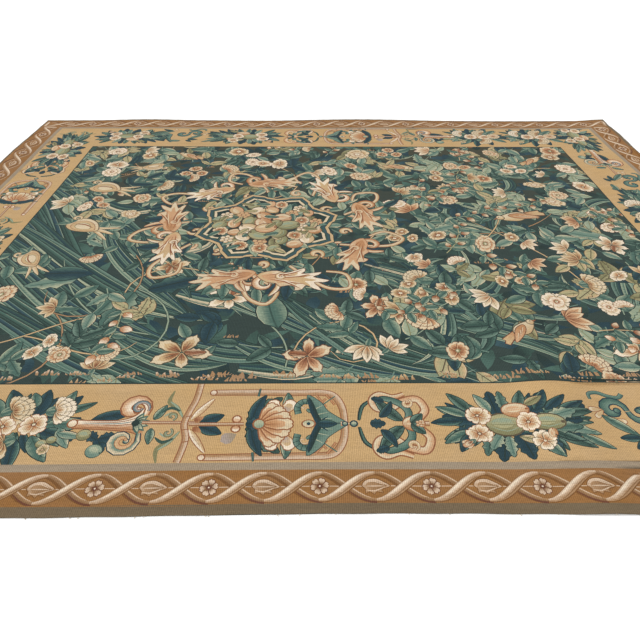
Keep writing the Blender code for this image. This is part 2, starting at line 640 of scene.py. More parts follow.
def plain_leaf(x, y, length, width, turn, dark, light):
    """A leaf in one patch, for the depth of the ground."""
    with cartoon.at(x, y, length, turn):
        half = 0.5 * width / length
        cartoon.patch([(0, 0), (0.2, half * 0.8), (0.45, half), (0.75, half * 0.6), (1, 0),
                       (0.75, -half * 0.6), (0.45, -half), (0.2, -half * 0.8)], dark, light, (0.1, 0),
                       (0.9, 0))


# A flower's tones are its edge, the foot of a petal, its middle, its rim, and the heart.
SAND_BLOOM = ("umber", "rust", "sand", "cream", "ivory")
PEACH_BLOOM = ("maroon", "rust", "peach", "cream", "olive")
CREAM_BLOOM = ("rust", "apricot", "cream", "ivory", "maroon")
PALE_BLOOM = ("umber", "apricot", "cream", "ivory", "rust")
OLIVE_BLOOM = ("umber", "olive", "sand", "cream", "rust")


def petal(length, width, tones, notch=0.10, veins=1):
    """A petal along +X from the heart of its flower: a light frilled rim round a darker inside."""
    edge, base, body, rim, _ = tones
    half = [(0.06, 0.08), (0.30, 0.32), (0.55, 0.50), (0.74, 0.44), (0.84, 0.50), (0.97, 0.30), (1.0, 0.14)]
    outline = [(x * length, y * width) for x, y in half] + [((1.0 - notch) * length, 0.0)]
    outline += [(x * length, -y * width) for x, y in reversed(half)]
    cartoon.patch(grown(outline, 0.04 * length + 0.0006), edge)
    cartoon.patch(outline, body, rim, (0.45 * length, 0), (0.72 * length, 0))
    inner = [(0.05 * length + 0.74 * x, 0.66 * y) for x, y in outline]
    cartoon.patch(inner, base, body, (0.22 * length, 0), (0.80 * length, 0))
    if veins:
        line([(0.10 * length, 0), (0.66 * length, 0)], 0.08 * length, 0.05 * length, 0.01 * length, edge,
             base)


def open_flower(x, y, radius, turn, tones, petals=5, veins=1, double=False, squash=1.0):
    """A flower seen from above or a little from the side."""
    _, base, _, rim, heart = tones
    width = 2.0 * math.sin(math.pi / petals) * radius
    drift = random.Random(round(1e4 * (x + 3 * y)))
    with cartoon.at(x, y, 1, turn, 1, squash):
        order = list(range(petals))
        drift.shuffle(order)
        for k in order:
            with cartoon.at(0, 0, drift.uniform(0.84, 1.10), 360 * k / petals + drift.uniform(-9, 9)):
                petal(radius, width * drift.uniform(0.80, 1.08), tones, 0.06 + 0.10 * drift.random(), veins)
        if double:
            for k in range(petals):
                between = 360 * (k + 0.5) / petals
                with cartoon.at(0, 0, drift.uniform(0.50, 0.62), between + drift.uniform(-9, 9)):
                    petal(radius, width * 0.95, (base, base, rim, rim, heart), 0.10, 0)
        disc(0, 0, radius * 0.22, heart, count=7)
        disc(0, 0, radius * 0.13, "ivory", "olive_light", count=6)


def outside_in(count):
    """Numbers from both ends to the middle, so that the middle petal lies on top."""
    return sorted(range(count), key=lambda n: -abs(n - (count - 1) / 2))


def peony(x, y, radius, turn, tones, cup=SEA_LEAF):
    """A full flower from the side, opening along +X: rows of toothed petals over a green cup."""
    with cartoon.at(x, y, radius, turn):
        for spin in (-30, 30, 0):
            leaf(-0.62, 0, 0.72, 0.34, spin, cup)
        for reach, width, spread, count in ((0.98, 0.44, 76, 7), (0.74, 0.40, 54, 5), (0.50, 0.34, 30, 3)):
            for k in outside_in(count):
                with cartoon.at(-0.12, 0, 1, spread * (2 * k / (count - 1) - 1)):
                    petal(reach, width, tones, 0.07, 1)


def rose(x, y, radius, turn, tones):
    """A full-blown rose from above: rows of petals inside each other."""
    with cartoon.at(x, y, radius, turn):
        for reach, count, spin in ((1.0, 7, 0), (0.70, 6, 24), (0.42, 4, 10)):
            for k in range(count):
                with cartoon.at(0, 0, 1, 360 * k / count + spin):
                    petal(reach, reach * 1.02, tones, 0.06, 0)
        disc(0, 0, 0.15, tones[4], "rust", 7)


def bud(x, y, length, turn, tones, cup=SEA_LEAF):
    """A half-open bud that points along +X."""
    edge, base, body, rim, heart = tones
    with cartoon.at(x, y, length, turn):
        for side in (1, -1):
            with cartoon.at(0, 0.06 * side, 1, 14 * side):
                petal(0.84, 0.40, tones, 0.0, 0)
        petal(0.96, 0.40, (edge, base, rim, body, heart), 0.0, 1)
        for spin in (-24, 24):
            leaf(-0.22, 0, 0.52, 0.18, spin, cup)


def fruit(x, y, length, width, turn, tones, streaks=3):
    """A round or long fruit with a lit side, streaks and a blossom end."""
    edge, dark, light, streak = tones
    with cartoon.at(x, y, length / 2, turn):
        flat = width / length
        disc(0, 0, 1.08, edge, count=14, squash=flat * 1.06)
        disc(0, 0, 1.0, dark, light, 14, flat)
        disc(-0.10, 0.14 * flat, 0.60, light, streak, 10, flat * 0.8)
        for k in range(streaks):
            rise = (k - (streaks - 1) / 2) * 0.46 * flat
            line(smooth([(-0.80, rise * 0.4), (0, rise * 1.35), (0.80, rise * 0.4)], 3), 0.01, 0.07, 0.01,
                 dark if k % 2 else streak)
        disc(0.86, 0, 0.13, edge, count=6)


# A fruit's tones are its edge, its dark side, its lit side and its streaks.
MELON = ("umber", "olive", "olive_light", "sage")
PEACH_FRUIT = ("rust", "apricot", "cream", "peach")
PALE_FRUIT = ("umber", "sand", "ivory", "cream")
SAND_FRUIT = ("maroon", "peach", "sand", "cream")


def berries(x, y, radius, turn, tones, count=7):
    """A small bunch of round berries."""
    edge, dark, light, _ = tones
    with cartoon.at(x, y, radius, turn):
        for k in range(count):
            ring = 0.0 if k == 0 else 0.62
            angle = math.tau * k / max(count - 1, 1)
            disc(*around(angle, ring, ring), 0.38, edge, count=8)
            disc(*around(angle, ring, ring), 0.31, dark, light, 8)


def spiral(radius, turns, hand, steps=12):
    """A spiral path from its rim at the origin, heading +X, into its eye."""
    path = []
    for k in range(steps + 1):
        t = k / steps
        reach = radius * (1 - 0.74 * t)
        angle = -math.pi / 2 + math.tau * turns * t
        path.append((reach * math.cos(angle), hand * (radius + reach * math.sin(angle))))
    return path


def curl(x, y, radius, turn, hand, width, edge, yarn, second, turns=1.15, tail=()):
    """A scroll with a rolled end. Tail gives the points of the stem that leads into it."""
    with cartoon.at(x, y, 1, turn):
        path = list(smooth(list(tail) + [(0, 0)], 4))[:-1] if tail else []
        path += spiral(radius, turns, hand)
        edged(path, width * 0.45, width * 1.1, width * 0.55, width * 0.20, edge, yarn, second)
        ex, ey = path[-1]
        disc(ex, ey, width * 0.56, edge, count=8)
        disc(ex, ey, width * 0.36, yarn, second, 8)


def tuft(x, y, size, seed, yarn="sand"):
    """A tuft of short dry grass, stepped as the weft steps."""
    rng = random.Random(seed)
    with cartoon.at(x, y, size, 0, 1, 0.75):
        for k in range(7):
            root = (k - 3) * 0.30 + rng.uniform(-0.14, 0.14)
            tall = rng.uniform(0.30, 1.0) * (1 - 0.14 * abs(k - 3))
            wide = rng.uniform(0.08, 0.14)
            lean = rng.uniform(-0.30, 0.30)
            cartoon.patch([(root - wide, -0.10), (root + wide, -0.16), (root + wide + lean * 0.4, tall * 0.5),
                           (root + lean + wide * 0.5, tall), (root + lean - wide * 0.6, tall * 0.9)],
                           "ribbon_dim", yarn, (root, 0), (root + lean, tall))


# The main border, 0.29 m of ochre wool with a run of ornaments along its middle line:
# posies of flowers and fruit, horns, cane rods, palmettes, winged leaves and scrolls,
# each woven straight into the ochre with its own small shuttles.
BORDER_AXIS = 0.278
SIDE_START = 1.12
MOTIF_LAYER = 2


def both_sides(size=1.0):
    """Draw what follows twice, once on each side of the line that runs along +X."""
    for side in (1, -1):
        with cartoon.at(0, 0, size, 0, side):
            yield


def rod(path, width=0.012, start=None, end=None):
    """A cane rod: rust edges, a pale pink body and a light along it."""
    edged(path, start or width, width, end or width, 0.0032, "rust", "ribbon_dim", "ribbon")
    line([(x - 0.12 * width, y - 0.22 * width) for x, y in path[1:-1]], 0.001, 0.0025, 0.001, "apricot")


def spray(reach, tones, count):
    """Long narrow leaves that stand out all round a posy."""
    for k in range(count):
        angle = 360 * k / count + 11 * math.sin(5 * k)
        x, y = around(math.radians(angle), reach, 0.026)
        leaf(x, y, 0.098 + 0.014 * math.sin(3 * k), 0.027 + 0.005 * math.sin(7 * k), angle,
             tones[k % len(tones)], bend=0.12 * math.sin(2 * k), veins=2)


def posy():
    """A posy of fruit, flowers and leaves about 0.48 m long, its middle at the origin."""
    with cartoon.at(0, 0, squash=0.88):
        spray(0.130, (NAVY_LEAF, TEAL_LEAF, BLUE_LEAF, SEA_LEAF, NAVY_LEAF), 24)
        for x, y, turn in (
            (-0.10, 0.01, 170), (-0.04, 0.03, 95), (0.05, 0.03, 60), (0.09, 0.0, 5), (0.05, -0.03, -60),
            (-0.04, -0.04, 255), (-0.10, -0.02, 205), (0.0, -0.03, 280), (0.13, 0.02, 30),
        ):
            leaf(x, y, 0.11, 0.065, turn, NAVY_LEAF, teeth=4)
        for x, y, length, width, turn, tones in (
            (-0.13, 0.03, 0.10, 0.032, 152, SEA_LEAF), (-0.12, 0.05, 0.10, 0.036, 122, TEAL_LEAF),
            (-0.15, 0.01, 0.095, 0.034, 180, BLUE_LEAF), (-0.13, -0.03, 0.10, 0.034, 205, SEA_LEAF),
            (-0.13, -0.04, 0.085, 0.036, 232, BLUE_LEAF), (-0.08, -0.05, 0.080, 0.038, 245, SEA_LEAF),
            (-0.03, -0.05, 0.080, 0.040, 262, SAGE_LEAF), (-0.06, 0.05, 0.085, 0.034, 112, SAGE_LEAF),
            (-0.02, 0.06, 0.080, 0.038, 84, SEA_LEAF), (0.02, 0.06, 0.085, 0.034, 66, TEAL_LEAF),
            (0.07, 0.05, 0.10, 0.036, 56, BLUE_LEAF), (0.10, 0.05, 0.10, 0.030, 36, NAVY_LEAF),
            (0.13, 0.04, 0.11, 0.032, 24, BLUE_LEAF), (0.12, 0.03, 0.13, 0.036, 6, TEAL_LEAF),
            (0.11, -0.01, 0.13, 0.044, -20, SAGE_LEAF), (0.10, -0.04, 0.12, 0.036, -34, TEAL_LEAF),
            (0.06, -0.06, 0.085, 0.034, -62, SEA_LEAF), (0.17, -0.05, 0.10, 0.028, -34, SEA_LEAF),
            (0.10, 0.02, 0.095, 0.055, 14, SAGE_LEAF), (0.09, -0.02, 0.10, 0.050, -4, SEA_LEAF),
            (0.02, -0.04, 0.075, 0.046, -48, BLUE_LEAF), (-0.05, -0.045, 0.070, 0.044, 230, SAGE_LEAF),
        ):
            leaf(x, y, length, width, turn, tones, bend=0.08, teeth=3 if width > 0.037 else 0, veins=2)
        leaf(0.0, -0.052, 0.085, 0.028, -18, TAN_LEAF, veins=2)
        leaf(0.045, 0.075, 0.07, 0.028, 30, OLIVE_LEAF)
        fruit(-0.030, -0.004, 0.108, 0.086, 0, MELON)
        fruit(0.094, 0.002, 0.098, 0.062, -4, MELON)
        fruit(0.014, 0.056, 0.080, 0.056, 6, PEACH_FRUIT, 1)
        open_flower(-0.104, 0.034, 0.036, 20, CREAM_BLOOM)
        open_flower(-0.112, -0.040, 0.036, -15, CREAM_BLOOM)
        open_flower(0.040, 0.006, 0.036, 10, CREAM_BLOOM)
        open_flower(0.066, -0.070, 0.036, -30, PALE_BLOOM)
        fruit(0.096, -0.042, 0.036, 0.024, 80, PEACH_FRUIT, 1)
        bud(-0.135, -0.068, 0.040, 215, PEACH_BLOOM)
        line(smooth([(0.10, -0.05), (0.14, -0.075), (0.19, -0.072)], 4), 0.004, 0.005, 0.002, "night")


def nosegay():
    """A posy of peonies and open flowers about 0.34 m long that ends in a horn's mouth."""
    with cartoon.at(0, 0, squash=0.90):
        spray(0.085, (TEAL_LEAF, NAVY_LEAF, SEA_LEAF, NAVY_LEAF, SAGE_LEAF), 19)
        for x, y, length, width, turn, tones in (
            (0.04, 0.04, 0.11, 0.050, 80, NAVY_LEAF), (-0.02, 0.05, 0.11, 0.050, 110, BLUE_LEAF),
            (0.08, 0.03, 0.12, 0.050, 44, NAVY_LEAF), (0.08, 0.0, 0.13, 0.052, 0, SEA_LEAF),
            (0.08, -0.02, 0.11, 0.050, -26, BLUE_LEAF), (0.06, -0.04, 0.12, 0.046, -58, SEA_LEAF),
            (0.02, -0.05, 0.12, 0.044, -84, BLUE_LEAF), (-0.03, -0.05, 0.10, 0.044, -110, NAVY_LEAF),
            (0.10, 0.05, 0.10, 0.036, 66, SEA_LEAF), (0.12, 0.05, 0.10, 0.030, 20, TEAL_LEAF),
            (0.13, -0.01, 0.09, 0.036, -64, SAGE_LEAF), (0.13, -0.03, 0.08, 0.028, -16, SAGE_LEAF),
            (-0.06, 0.05, 0.09, 0.040, 128, SEA_LEAF), (0.03, 0.07, 0.07, 0.036, 104, SEA_LEAF),
            (-0.09, 0.0, 0.09, 0.046, 180, BLUE_LEAF), (-0.08, -0.04, 0.09, 0.040, 214, SEA_LEAF),
        ):
            leaf(x, y, length, width, turn, tones, bend=0.10, veins=2)
        peony(-0.024, 0.060, 0.066, 24, SAND_BLOOM)
        peony(-0.014, -0.066, 0.064, 205, SAND_BLOOM)
        peony(0.105, 0.060, 0.060, 12, PALE_BLOOM)
        open_flower(0.052, 0.004, 0.042, 15, CREAM_BLOOM)
        open_flower(-0.035, -0.004, 0.040, 40, CREAM_BLOOM)
        rose(-0.092, 0.010, 0.040, 0, PEACH_BLOOM)
        fruit(0.100, -0.070, 0.030, 0.028, 0, MELON, 1)
        fruit(0.124, -0.056, 0.028, 0.026, 0, MELON, 1)
        open_flower(0.112, -0.092, 0.018, 0, OLIVE_BLOOM)


def horn():
    """A flower horn, its narrow end at the origin and its mouth 0.22 m along +X."""
    leaf(0.085, -0.046, 0.056, 0.042, -62, NAVY_LEAF, teeth=3)
    leaf(0.088, -0.050, 0.056, 0.038, 14, NAVY_LEAF, teeth=3)
    leaf(0.084, -0.050, 0.050, 0.036, 150, NAVY_LEAF, teeth=3)
    fruit(0.088, -0.088, 0.046, 0.040, -20, ("pine", "sea", "sage", "pale_sage"), 1)
    leaf(0.045, 0.016, 0.125, 0.038, 17, NAVY_LEAF, bend=-0.05, veins=3)
    body = smooth([(0.0, 0.004), (0.07, 0.000), (0.13, -0.002), (0.175, 0.002), (0.200, 0.006)], 5)
    wide = [0.013 + 0.045 * (k / (len(body) - 1)) ** 3.6 for k in range(len(body))]
    strip(body, [w + 0.0038 for w in wide], [w + 0.0038 for w in wide], "rust")
    strip(body, wide, wide, "apricot", "ivory")
    for rise, yarn in ((-0.70, "rust"), (-0.36, "apricot"), (0.05, "rust"), (0.40, "steel"), (0.74, "rust")):
        marks, _ = sides(body, [w * rise for w in wide], wide)
        line(marks[2:-2], 0.001, 0.0030, 0.001, yarn)
    curl(0.200, 0.036, 0.045, 58, 1, 0.026, "rust", "peach", "ivory", 1.0)
    curl(0.205, 0.050, 0.030, 66, 1, 0.010, "maroon", "steel", "lilac", 0.95)
    curl(0.196, -0.030, 0.048, -58, -1, 0.018, "navy", "sea", "cream", 1.1)
    curl(0.186, -0.044, 0.029, -66, -1, 0.010, "rust", "peach", "sand", 0.95)
    for angle in (64, 38, 12, -14, -40, -66):
        plain_leaf(0.176, 0.006, 0.044, 0.020, angle, "night", "teal")
        plain_leaf(0.178, 0.006, 0.034, 0.013, angle, "teal", "pale_sage")
    disc(0.178, 0.006, 0.012, "night", count=8)
    disc(-0.004, 0.006, 0.0165, "rust", count=10)
    disc(-0.004, 0.006, 0.0120, "cream", "ivory", 10)
    fruit(0.042, -0.034, 0.040, 0.036, 0, MELON, 1)
    leaf(0.228, 0.018, 0.062, 0.024, 62, SEA_LEAF, veins=2)
    leaf(0.228, -0.012, 0.056, 0.024, -86, SEA_LEAF, veins=2)
    rod([(0.196, 0.008), (0.350, 0.006)], 0.006)


def tendrils():
    """Four thin sage tendrils that curl off a rod."""
    for _ in both_sides(1.22):
        line(smooth([(0.035, 0.020), (0.015, 0.050), (-0.008, 0.070), (-0.002, 0.105)], 5),
             0.004, 0.013, 0.003, "olive")
        line(smooth([(0.033, 0.022), (0.015, 0.052), (-0.006, 0.070)], 5), 0.002, 0.006, 0.002, "sage")
        line(smooth([(0.024, 0.040), (0.0, 0.050), (-0.020, 0.036)], 5), 0.003, 0.009, 0.002, "pine")
        line(smooth([(0.020, 0.030), (0.004, 0.034), (-0.012, 0.024)], 5), 0.002, 0.006, 0.002, "sage")
        curl(0.012, 0.012, 0.013, 20, 1, 0.006, "umber", "olive", "sage", 0.9)


def post():
    """A jointed cane post across the whole border."""
    rod(smooth([(0.006, 0.156), (0.002, 0.095), (-0.011, 0.045), (-0.018, 0.0), (-0.004, -0.055),
                (-0.014, -0.128)], 5), 0.015)
    for y, x in ((0.030, -0.008), (-0.018, -0.012), (-0.060, -0.004)):
        line([(x - 0.010, y - 0.002), (x + 0.010, y + 0.002)], 0.003, 0.003, 0.003, "rust")
    for _ in both_sides():
        edged(smooth([(0.0, 0.018), (0.022, 0.050), (0.056, 0.096)], 4), 0.003, 0.018, 0.003, 0.0026,
              "rust", "sand", "ivory")
        line([(0.012, 0.040), (0.040, 0.074)], 0.001, 0.003, 0.001, "rust")
        leaf(0.026, 0.006, 0.074, 0.036, 22, NAVY_LEAF, veins=3)
        plain_leaf(0.008, 0.010, 0.034, 0.020, 34, "rust", "apricot")


PALE_PETAL = ("rust", "lilac", "sand", "ivory", "rust")


def palmette():
    """A shell of cream petals over a toothed green collar, opening along +X."""
    for _ in both_sides():
        leaf(-0.074, 0.0, 0.128, 0.062, 66, TEAL_LEAF, bend=-0.35, teeth=5, veins=3)
        leaf(-0.064, 0.004, 0.104, 0.036, 92, NAVY_LEAF, bend=-0.35)
        leaf(0.030, 0.050, 0.066, 0.030, 70, SEA_LEAF, bend=0.3, veins=2)
        leaf(-0.055, 0.0, 0.090, 0.046, 30, SEA_LEAF, bend=-0.2, teeth=4)
        for reach, angle, x in ((0.060, 104, 0.004), (0.064, 62, 0.020)):
            with cartoon.at(x, 0.030, 1, angle):
                petal(reach, 0.034, PALE_PETAL, 0.0, 0)
    leaf(-0.085, 0.0, 0.060, 0.050, 0, NAVY_LEAF, teeth=3)
    for angle in (60, -60, 40, -40, 20, -20, 0):
        with cartoon.at(-0.046, 0, 1, angle):
            petal(0.098 - 0.0002 * abs(angle), 0.038, ("rust", "apricot", "peach", "cream", "rust"), 0.04)
    disc(-0.046, 0, 0.020, "rust", count=10)
    disc(-0.046, 0, 0.015, "sage", "pale_sage", 10)


def banded_curl():
    """A teal horn-like scroll with dark bands."""
    path = smooth([(-0.012, 0.036), (-0.016, 0.062), (0.000, 0.082), (0.024, 0.080), (0.034, 0.060),
                   (0.024, 0.046), (0.012, 0.054)], 4)
    edged(path, 0.018, 0.018, 0.004, 0.0022, "night", "teal", "sea")
    for k in range(2, len(path) - 5, 2):
        (x0, y0), (x1, y1) = path[k], path[k + 1]
        run = math.hypot(x1 - x0, y1 - y0)
        nx, ny = (y0 - y1) / run * 0.010, (x1 - x0) / run * 0.010
        line([(x0 - nx, y0 - ny), (x0 + nx, y0 + ny)], 0.002, 0.002, 0.002, "night")


def winged_leaf():
    """A dark and light green leaf with two wings, its tip along +X."""
    for _ in both_sides():
        wing = smooth([(0.0, 0.0), (-0.016, 0.045), (-0.028, 0.108), (0.014, 0.078), (0.034, 0.046),
                       (0.086, 0.006)], 4)
        cartoon.patch(grown(wing + [(0.084, -0.002)], 0.002), "night")
        cartoon.patch(wing + [(0.080, 0.0)], "teal", "sea", (-0.01, 0.02), (0.04, 0.05))
        for x0, y0, x1, y1 in (
            (0.010, 0.016, 0.046, 0.020), (0.004, 0.034, 0.034, 0.042), (-0.002, 0.056, 0.018, 0.068),
        ):
            line([(x0, y0), (x1, y1)], 0.003, 0.004, 0.001, "pale_sage")
        spine = smooth([(0.008, 0.002), (-0.008, 0.040), (-0.024, 0.100)], 5)
        line(spine, 0.026, 0.020, 0.002, "night", "navy")
        line([(0.010, 0.008), (0.034, 0.028)], 0.008, 0.006, 0.001, "navy")
    leaf(0.0, 0.0, 0.060, 0.026, 0, NAVY_LEAF)
    disc(-0.024, 0, 0.022, "rust", count=12, squash=0.72)
    disc(-0.024, 0, 0.017, "cream", "pale_sage", 12, 0.72)
    disc(-0.024, 0, 0.006, "navy", count=7)
    edged([(0.070, 0), (0.100, 0)], 0.013, 0.009, 0.003, 0.002, "rust", "peach", "cream")


def rod_frame():
    """The long frame: two cane rods that join at the right round a palmette, the lower one closer in."""
    for side in (1, -1):
        with cartoon.at(0, 0, 1, 0, side, 1.0 if side == 1 else 0.93):
            rod(smooth([(-0.195, 0.120), (-0.080, 0.120), (0.060, 0.118), (0.140, 0.118), (0.176, 0.104),
                        (0.198, 0.060), (0.204, 0.0)], 5), 0.020, 0.018, 0.015)
            disc(-0.195, 0.120, 0.0125, "rust", count=10)
            disc(-0.195, 0.120, 0.0085, "ribbon", "ivory", 10)
            for x0, y0, x1, y1 in (
                (0.150, 0.112, 0.176, 0.070), (0.120, 0.110, 0.150, 0.062), (0.150, 0.094, 0.120, 0.060),
            ):
                edged([(x0, y0), (x1, y1)], 0.004, 0.005, 0.004, 0.002, "rust", "apricot")
            disc(-0.112, 0.018, 0.0155, "rust", count=10)
            disc(-0.112, 0.018, 0.0105, "peach", "ivory", 10)
            edged([(-0.056, 0.104), (-0.052, 0.136)], 0.005, 0.006, 0.003, 0.0015, "navy", "teal")
            curl(0.096, 0.070, 0.014, 120, 1, 0.005, "rust", "sand", "cream", 0.8)
            line([(0.116, 0.050), (0.178, 0.104)], 0.004, 0.005, 0.004, "teal")
    rod([(-0.250, 0.0), (-0.090, 0.0)], 0.007)
    plain_leaf(-0.150, -0.060, 0.050, 0.040, 30, "lilac", "dove")
    palmette()
    with cartoon.at(0.080, 0):
        for _ in both_sides():
            banded_curl()
    with cartoon.at(0.122, 0):
        winged_leaf()
    for x, size in ((0.204, 0.010), (0.230, 0.013)):
        disc(x, 0, size, "navy", count=9)
        disc(x, 0, size * 0.62, "sea", "pale_sage", 8)


def scroll_lyre():
    """A lyre of two scrolled stems with curled leaves, 0.22 m long."""
    for _ in both_sides():
        line(smooth([(-0.010, 0.012), (0.004, 0.064), (0.040, 0.092)], 5), 0.009, 0.014, 0.009, "night")
        line(smooth([(-0.008, 0.014), (0.005, 0.064), (0.038, 0.090)], 5), 0.003, 0.006, 0.003, "teal")
        edged(smooth([(0.170, 0.022), (0.190, 0.052), (0.170, 0.092), (0.120, 0.080), (0.092, 0.060),
                      (0.050, 0.056), (0.036, 0.086), (0.058, 0.110), (0.098, 0.100), (0.134, 0.112)], 5),
              0.019, 0.022, 0.009, 0.0046, "rust", "peach", "cream")
        edged(smooth([(0.128, 0.0), (0.140, 0.040), (0.118, 0.074), (0.070, 0.094), (0.044, 0.082)], 5),
              0.018, 0.020, 0.006, 0.0028, "night", "teal", "sea")
        leaf(0.122, 0.010, 0.116, 0.036, 150, TEAL_LEAF, bend=-0.35, veins=2)
        leaf(0.052, 0.022, 0.070, 0.026, 40, NAVY_LEAF, bend=0.3, veins=2)
        leaf(0.070, 0.082, 0.040, 0.026, 160, NAVY_LEAF, teeth=3)
        curl(0.144, 0.092, 0.017, -20, -1, 0.009, "rust", "sand", "cream", 1.0)
    leaf(0.022, 0.0, 0.046, 0.036, 0, NAVY_LEAF, teeth=3)
    rod([(0.134, 0.0), (0.196, 0.0)], 0.012)
    fruit(0.150, 0.0, 0.064, 0.050, 0, PEACH_FRUIT, 2)
    for angle in (44, -44):
        leaf(0.142, 0.0, 0.052, 0.028, angle, TEAL_LEAF)
    berries(0.168, 0.0, 0.014, 0, PEACH_FRUIT, 6)


def leaf_scrolls():
    """Linked teal scrolls with buds, 0.30 m long."""
    edged(smooth([(-0.02, 0.090), (-0.016, 0.112), (0.012, 0.118), (0.040, 0.104), (0.070, 0.098),
                  (0.086, 0.112)], 5), 0.006, 0.012, 0.012, 0.0018, "navy", "teal", "sea")
    curl(0.075, 0.046, 0.040, 80, 1, 0.022, "navy", "teal", "sea", 0.95)
    curl(0.075, 0.044, 0.038, -100, 1, 0.022, "navy", "teal", "sea", 0.85)
    curl(0.190, 0.020, 0.042, 60, -1, 0.022, "navy", "teal", "sea", 1.1, ((-0.11, -0.03), (-0.05, -0.03)))
    for x, y, turn in ((0.004, 0.050, 200), (0.012, 0.012, -28), (0.150, 0.085, 30), (0.235, -0.050, -20)):
        for spin in (-22, 22):
            with cartoon.at(x, y, 1, turn + spin):
                petal(0.044, 0.016, ("rust", "sand", "sand", "cream", "rust"), 0.0, 0)
    leaf(-0.010, 0.030, 0.110, 0.030, -42, SEA_LEAF, veins=2)
    leaf(0.070, -0.050, 0.060, 0.024, 180, BLUE_LEAF)
    leaf(0.080, -0.060, 0.046, 0.020, 215, BLUE_LEAF)
    leaf(0.110, -0.075, 0.080, 0.026, 8, SEA_LEAF)
    leaf(0.180, 0.075, 0.080, 0.026, 30, BLUE_LEAF)
    open_flower(0.262, 0.020, 0.032, 0, PEACH_BLOOM)


# What stands along a long side, from the field's near left corner, and along a short side.
# Each row is a place on the border's middle line in metres, the motif, its size and its turn.
LONG_RUN = (
    (0.10, nosegay, 1.0, 0), (0.455, nosegay, 1.0, 0), (0.622, horn, 1.0, 0), (0.892, tendrils, 1.0, 0),
    (0.960, post, 1.0, 0), (1.205, rod_frame, 1.0, 0), (1.460, scroll_lyre, 1.0, 0), (1.905, posy, 1.0, 0),
    (2.180, leaf_scrolls, 1.0, 0), (2.600, posy, 0.95, 180),
)
SIDE_RUN = (
    (0.02, posy, 0.95, 0), (0.24, horn, 1.0, 0), (0.56, leaf_scrolls, 1.0, 0), (0.94, posy, 0.9, 180),
    (1.00, nosegay, 1.0, 180), (1.18, tendrils, 1.0, 0), (1.42, rod_frame, 0.90, 0),
    (1.66, scroll_lyre, 0.95, 0), (2.02, posy, 1.0, 0), (2.26, tendrils, 0.9, 0),
)


def border_run(run, flip):
    """Draw one side's motifs along +X."""
    for x, motif, size, turn in run:
        with cartoon.at(x, 0, size, turn, flip):
            motif()


field_left, field_low, field_right, field_high = inset_box(FIELD_INSET)
cartoon.layer = MOTIF_LAYER
with cartoon.at(field_left, -half_width + BORDER_AXIS):
    border_run(LONG_RUN, 1)
with cartoon.at(field_right, half_width - BORDER_AXIS, 1, 180):
    border_run(LONG_RUN, -1)
with cartoon.at(-half_length + BORDER_AXIS, -SIDE_START, 1, 90):
    border_run(SIDE_RUN, 1)
with cartoon.at(half_length - BORDER_AXIS, SIDE_START, 1, -90):
    border_run(SIDE_RUN, 1)

# The field, 2.79 m by 1.88 m: a dark green ground full of leaves and flowers round a
# wreath of fruit. The layout is this rug's own, in the old pattern's colours and scale.
# It is drawn from the ground up: shadows, long blades, twigs, flowers, then the wreath.
FIELD_LINE = 0.005
GROUND_LAYER = 10
DEPTH_LAYER = 11
DEPTH_LEAVES = 900
DEPTH_TUFTS = 110
DEPTH_TONES = (("night", "navy"), ("navy", "blue"), ("night", "pine"), ("pine", "teal"), ("navy", "pine"))

cartoon.layer = GROUND_LAYER
cartoon.patch(rectangle(*inset_box(FIELD_INSET)), "ground", "earth", (0, -0.2), (0, 0.9))

chance = random.Random(7)
taken = []


def claim(x, y, radius):
    """Keep later flowers off a place."""
    taken.append((x, y, radius))


def free(x, y, radius):
    """Whether a place is clear of all that has been claimed."""
    return all((x - a) ** 2 + (y - b) ** 2 > (radius + r) ** 2 for a, b, r in taken)


def meadow(x, y):
    """Whether a place lies in the sweep of long blades at the near left."""
    return x < 0.0 and y < 0.25 - 0.55 * (x + 1.4)


def anywhere(left=0.0, low=0.0, right=0.0, high=0.0):
    """A place in the field by chance, at least so far from each of its sides."""
    x = chance.uniform(field_left + left, field_right - right)
    return x, chance.uniform(field_low + low, field_high - high)


cartoon.layer = DEPTH_LAYER
for _ in range(DEPTH_LEAVES):
    dark, light = chance.choice(DEPTH_TONES)
    plain_leaf(*anywhere(), chance.uniform(0.09, 0.16), chance.uniform(0.035, 0.055), chance.uniform(0, 360),
               dark, light)
for _ in range(DEPTH_TUFTS):
    tuft(*anywhere(), chance.uniform(0.02, 0.03), chance.random(), "ribbon_dim")

# Long blades. Each is a sheaf of narrow lanes in neighbouring greens and blues that swells,
# bends and ends in a point, with a light rim and a few creases. They sweep up from the near
# left, and small fans of them stand in other places.
BLADE_LAYER = 12
LIGHT_RIMS = ("sage", "sea", "pale_sage", "sea")
LANES = (
    ("navy", "blue"), ("night", "pine"), ("pine", "teal"), ("night", "teal"), ("navy", "pine"),
    ("pine", "sea"),
)


def arc(x, y, heading, bend, swing, length, steps=14):
    """A path that starts at a heading in degrees and turns by bend, then by swing more."""
    path = [(x, y)]
    for k in range(steps):
        t = (k + 0.5) / steps
        angle = math.radians(heading + bend * t + swing * t * t)
        x, y = x + length / steps * math.cos(angle), y + length / steps * math.sin(angle)
        path.append((x, y))
    return path


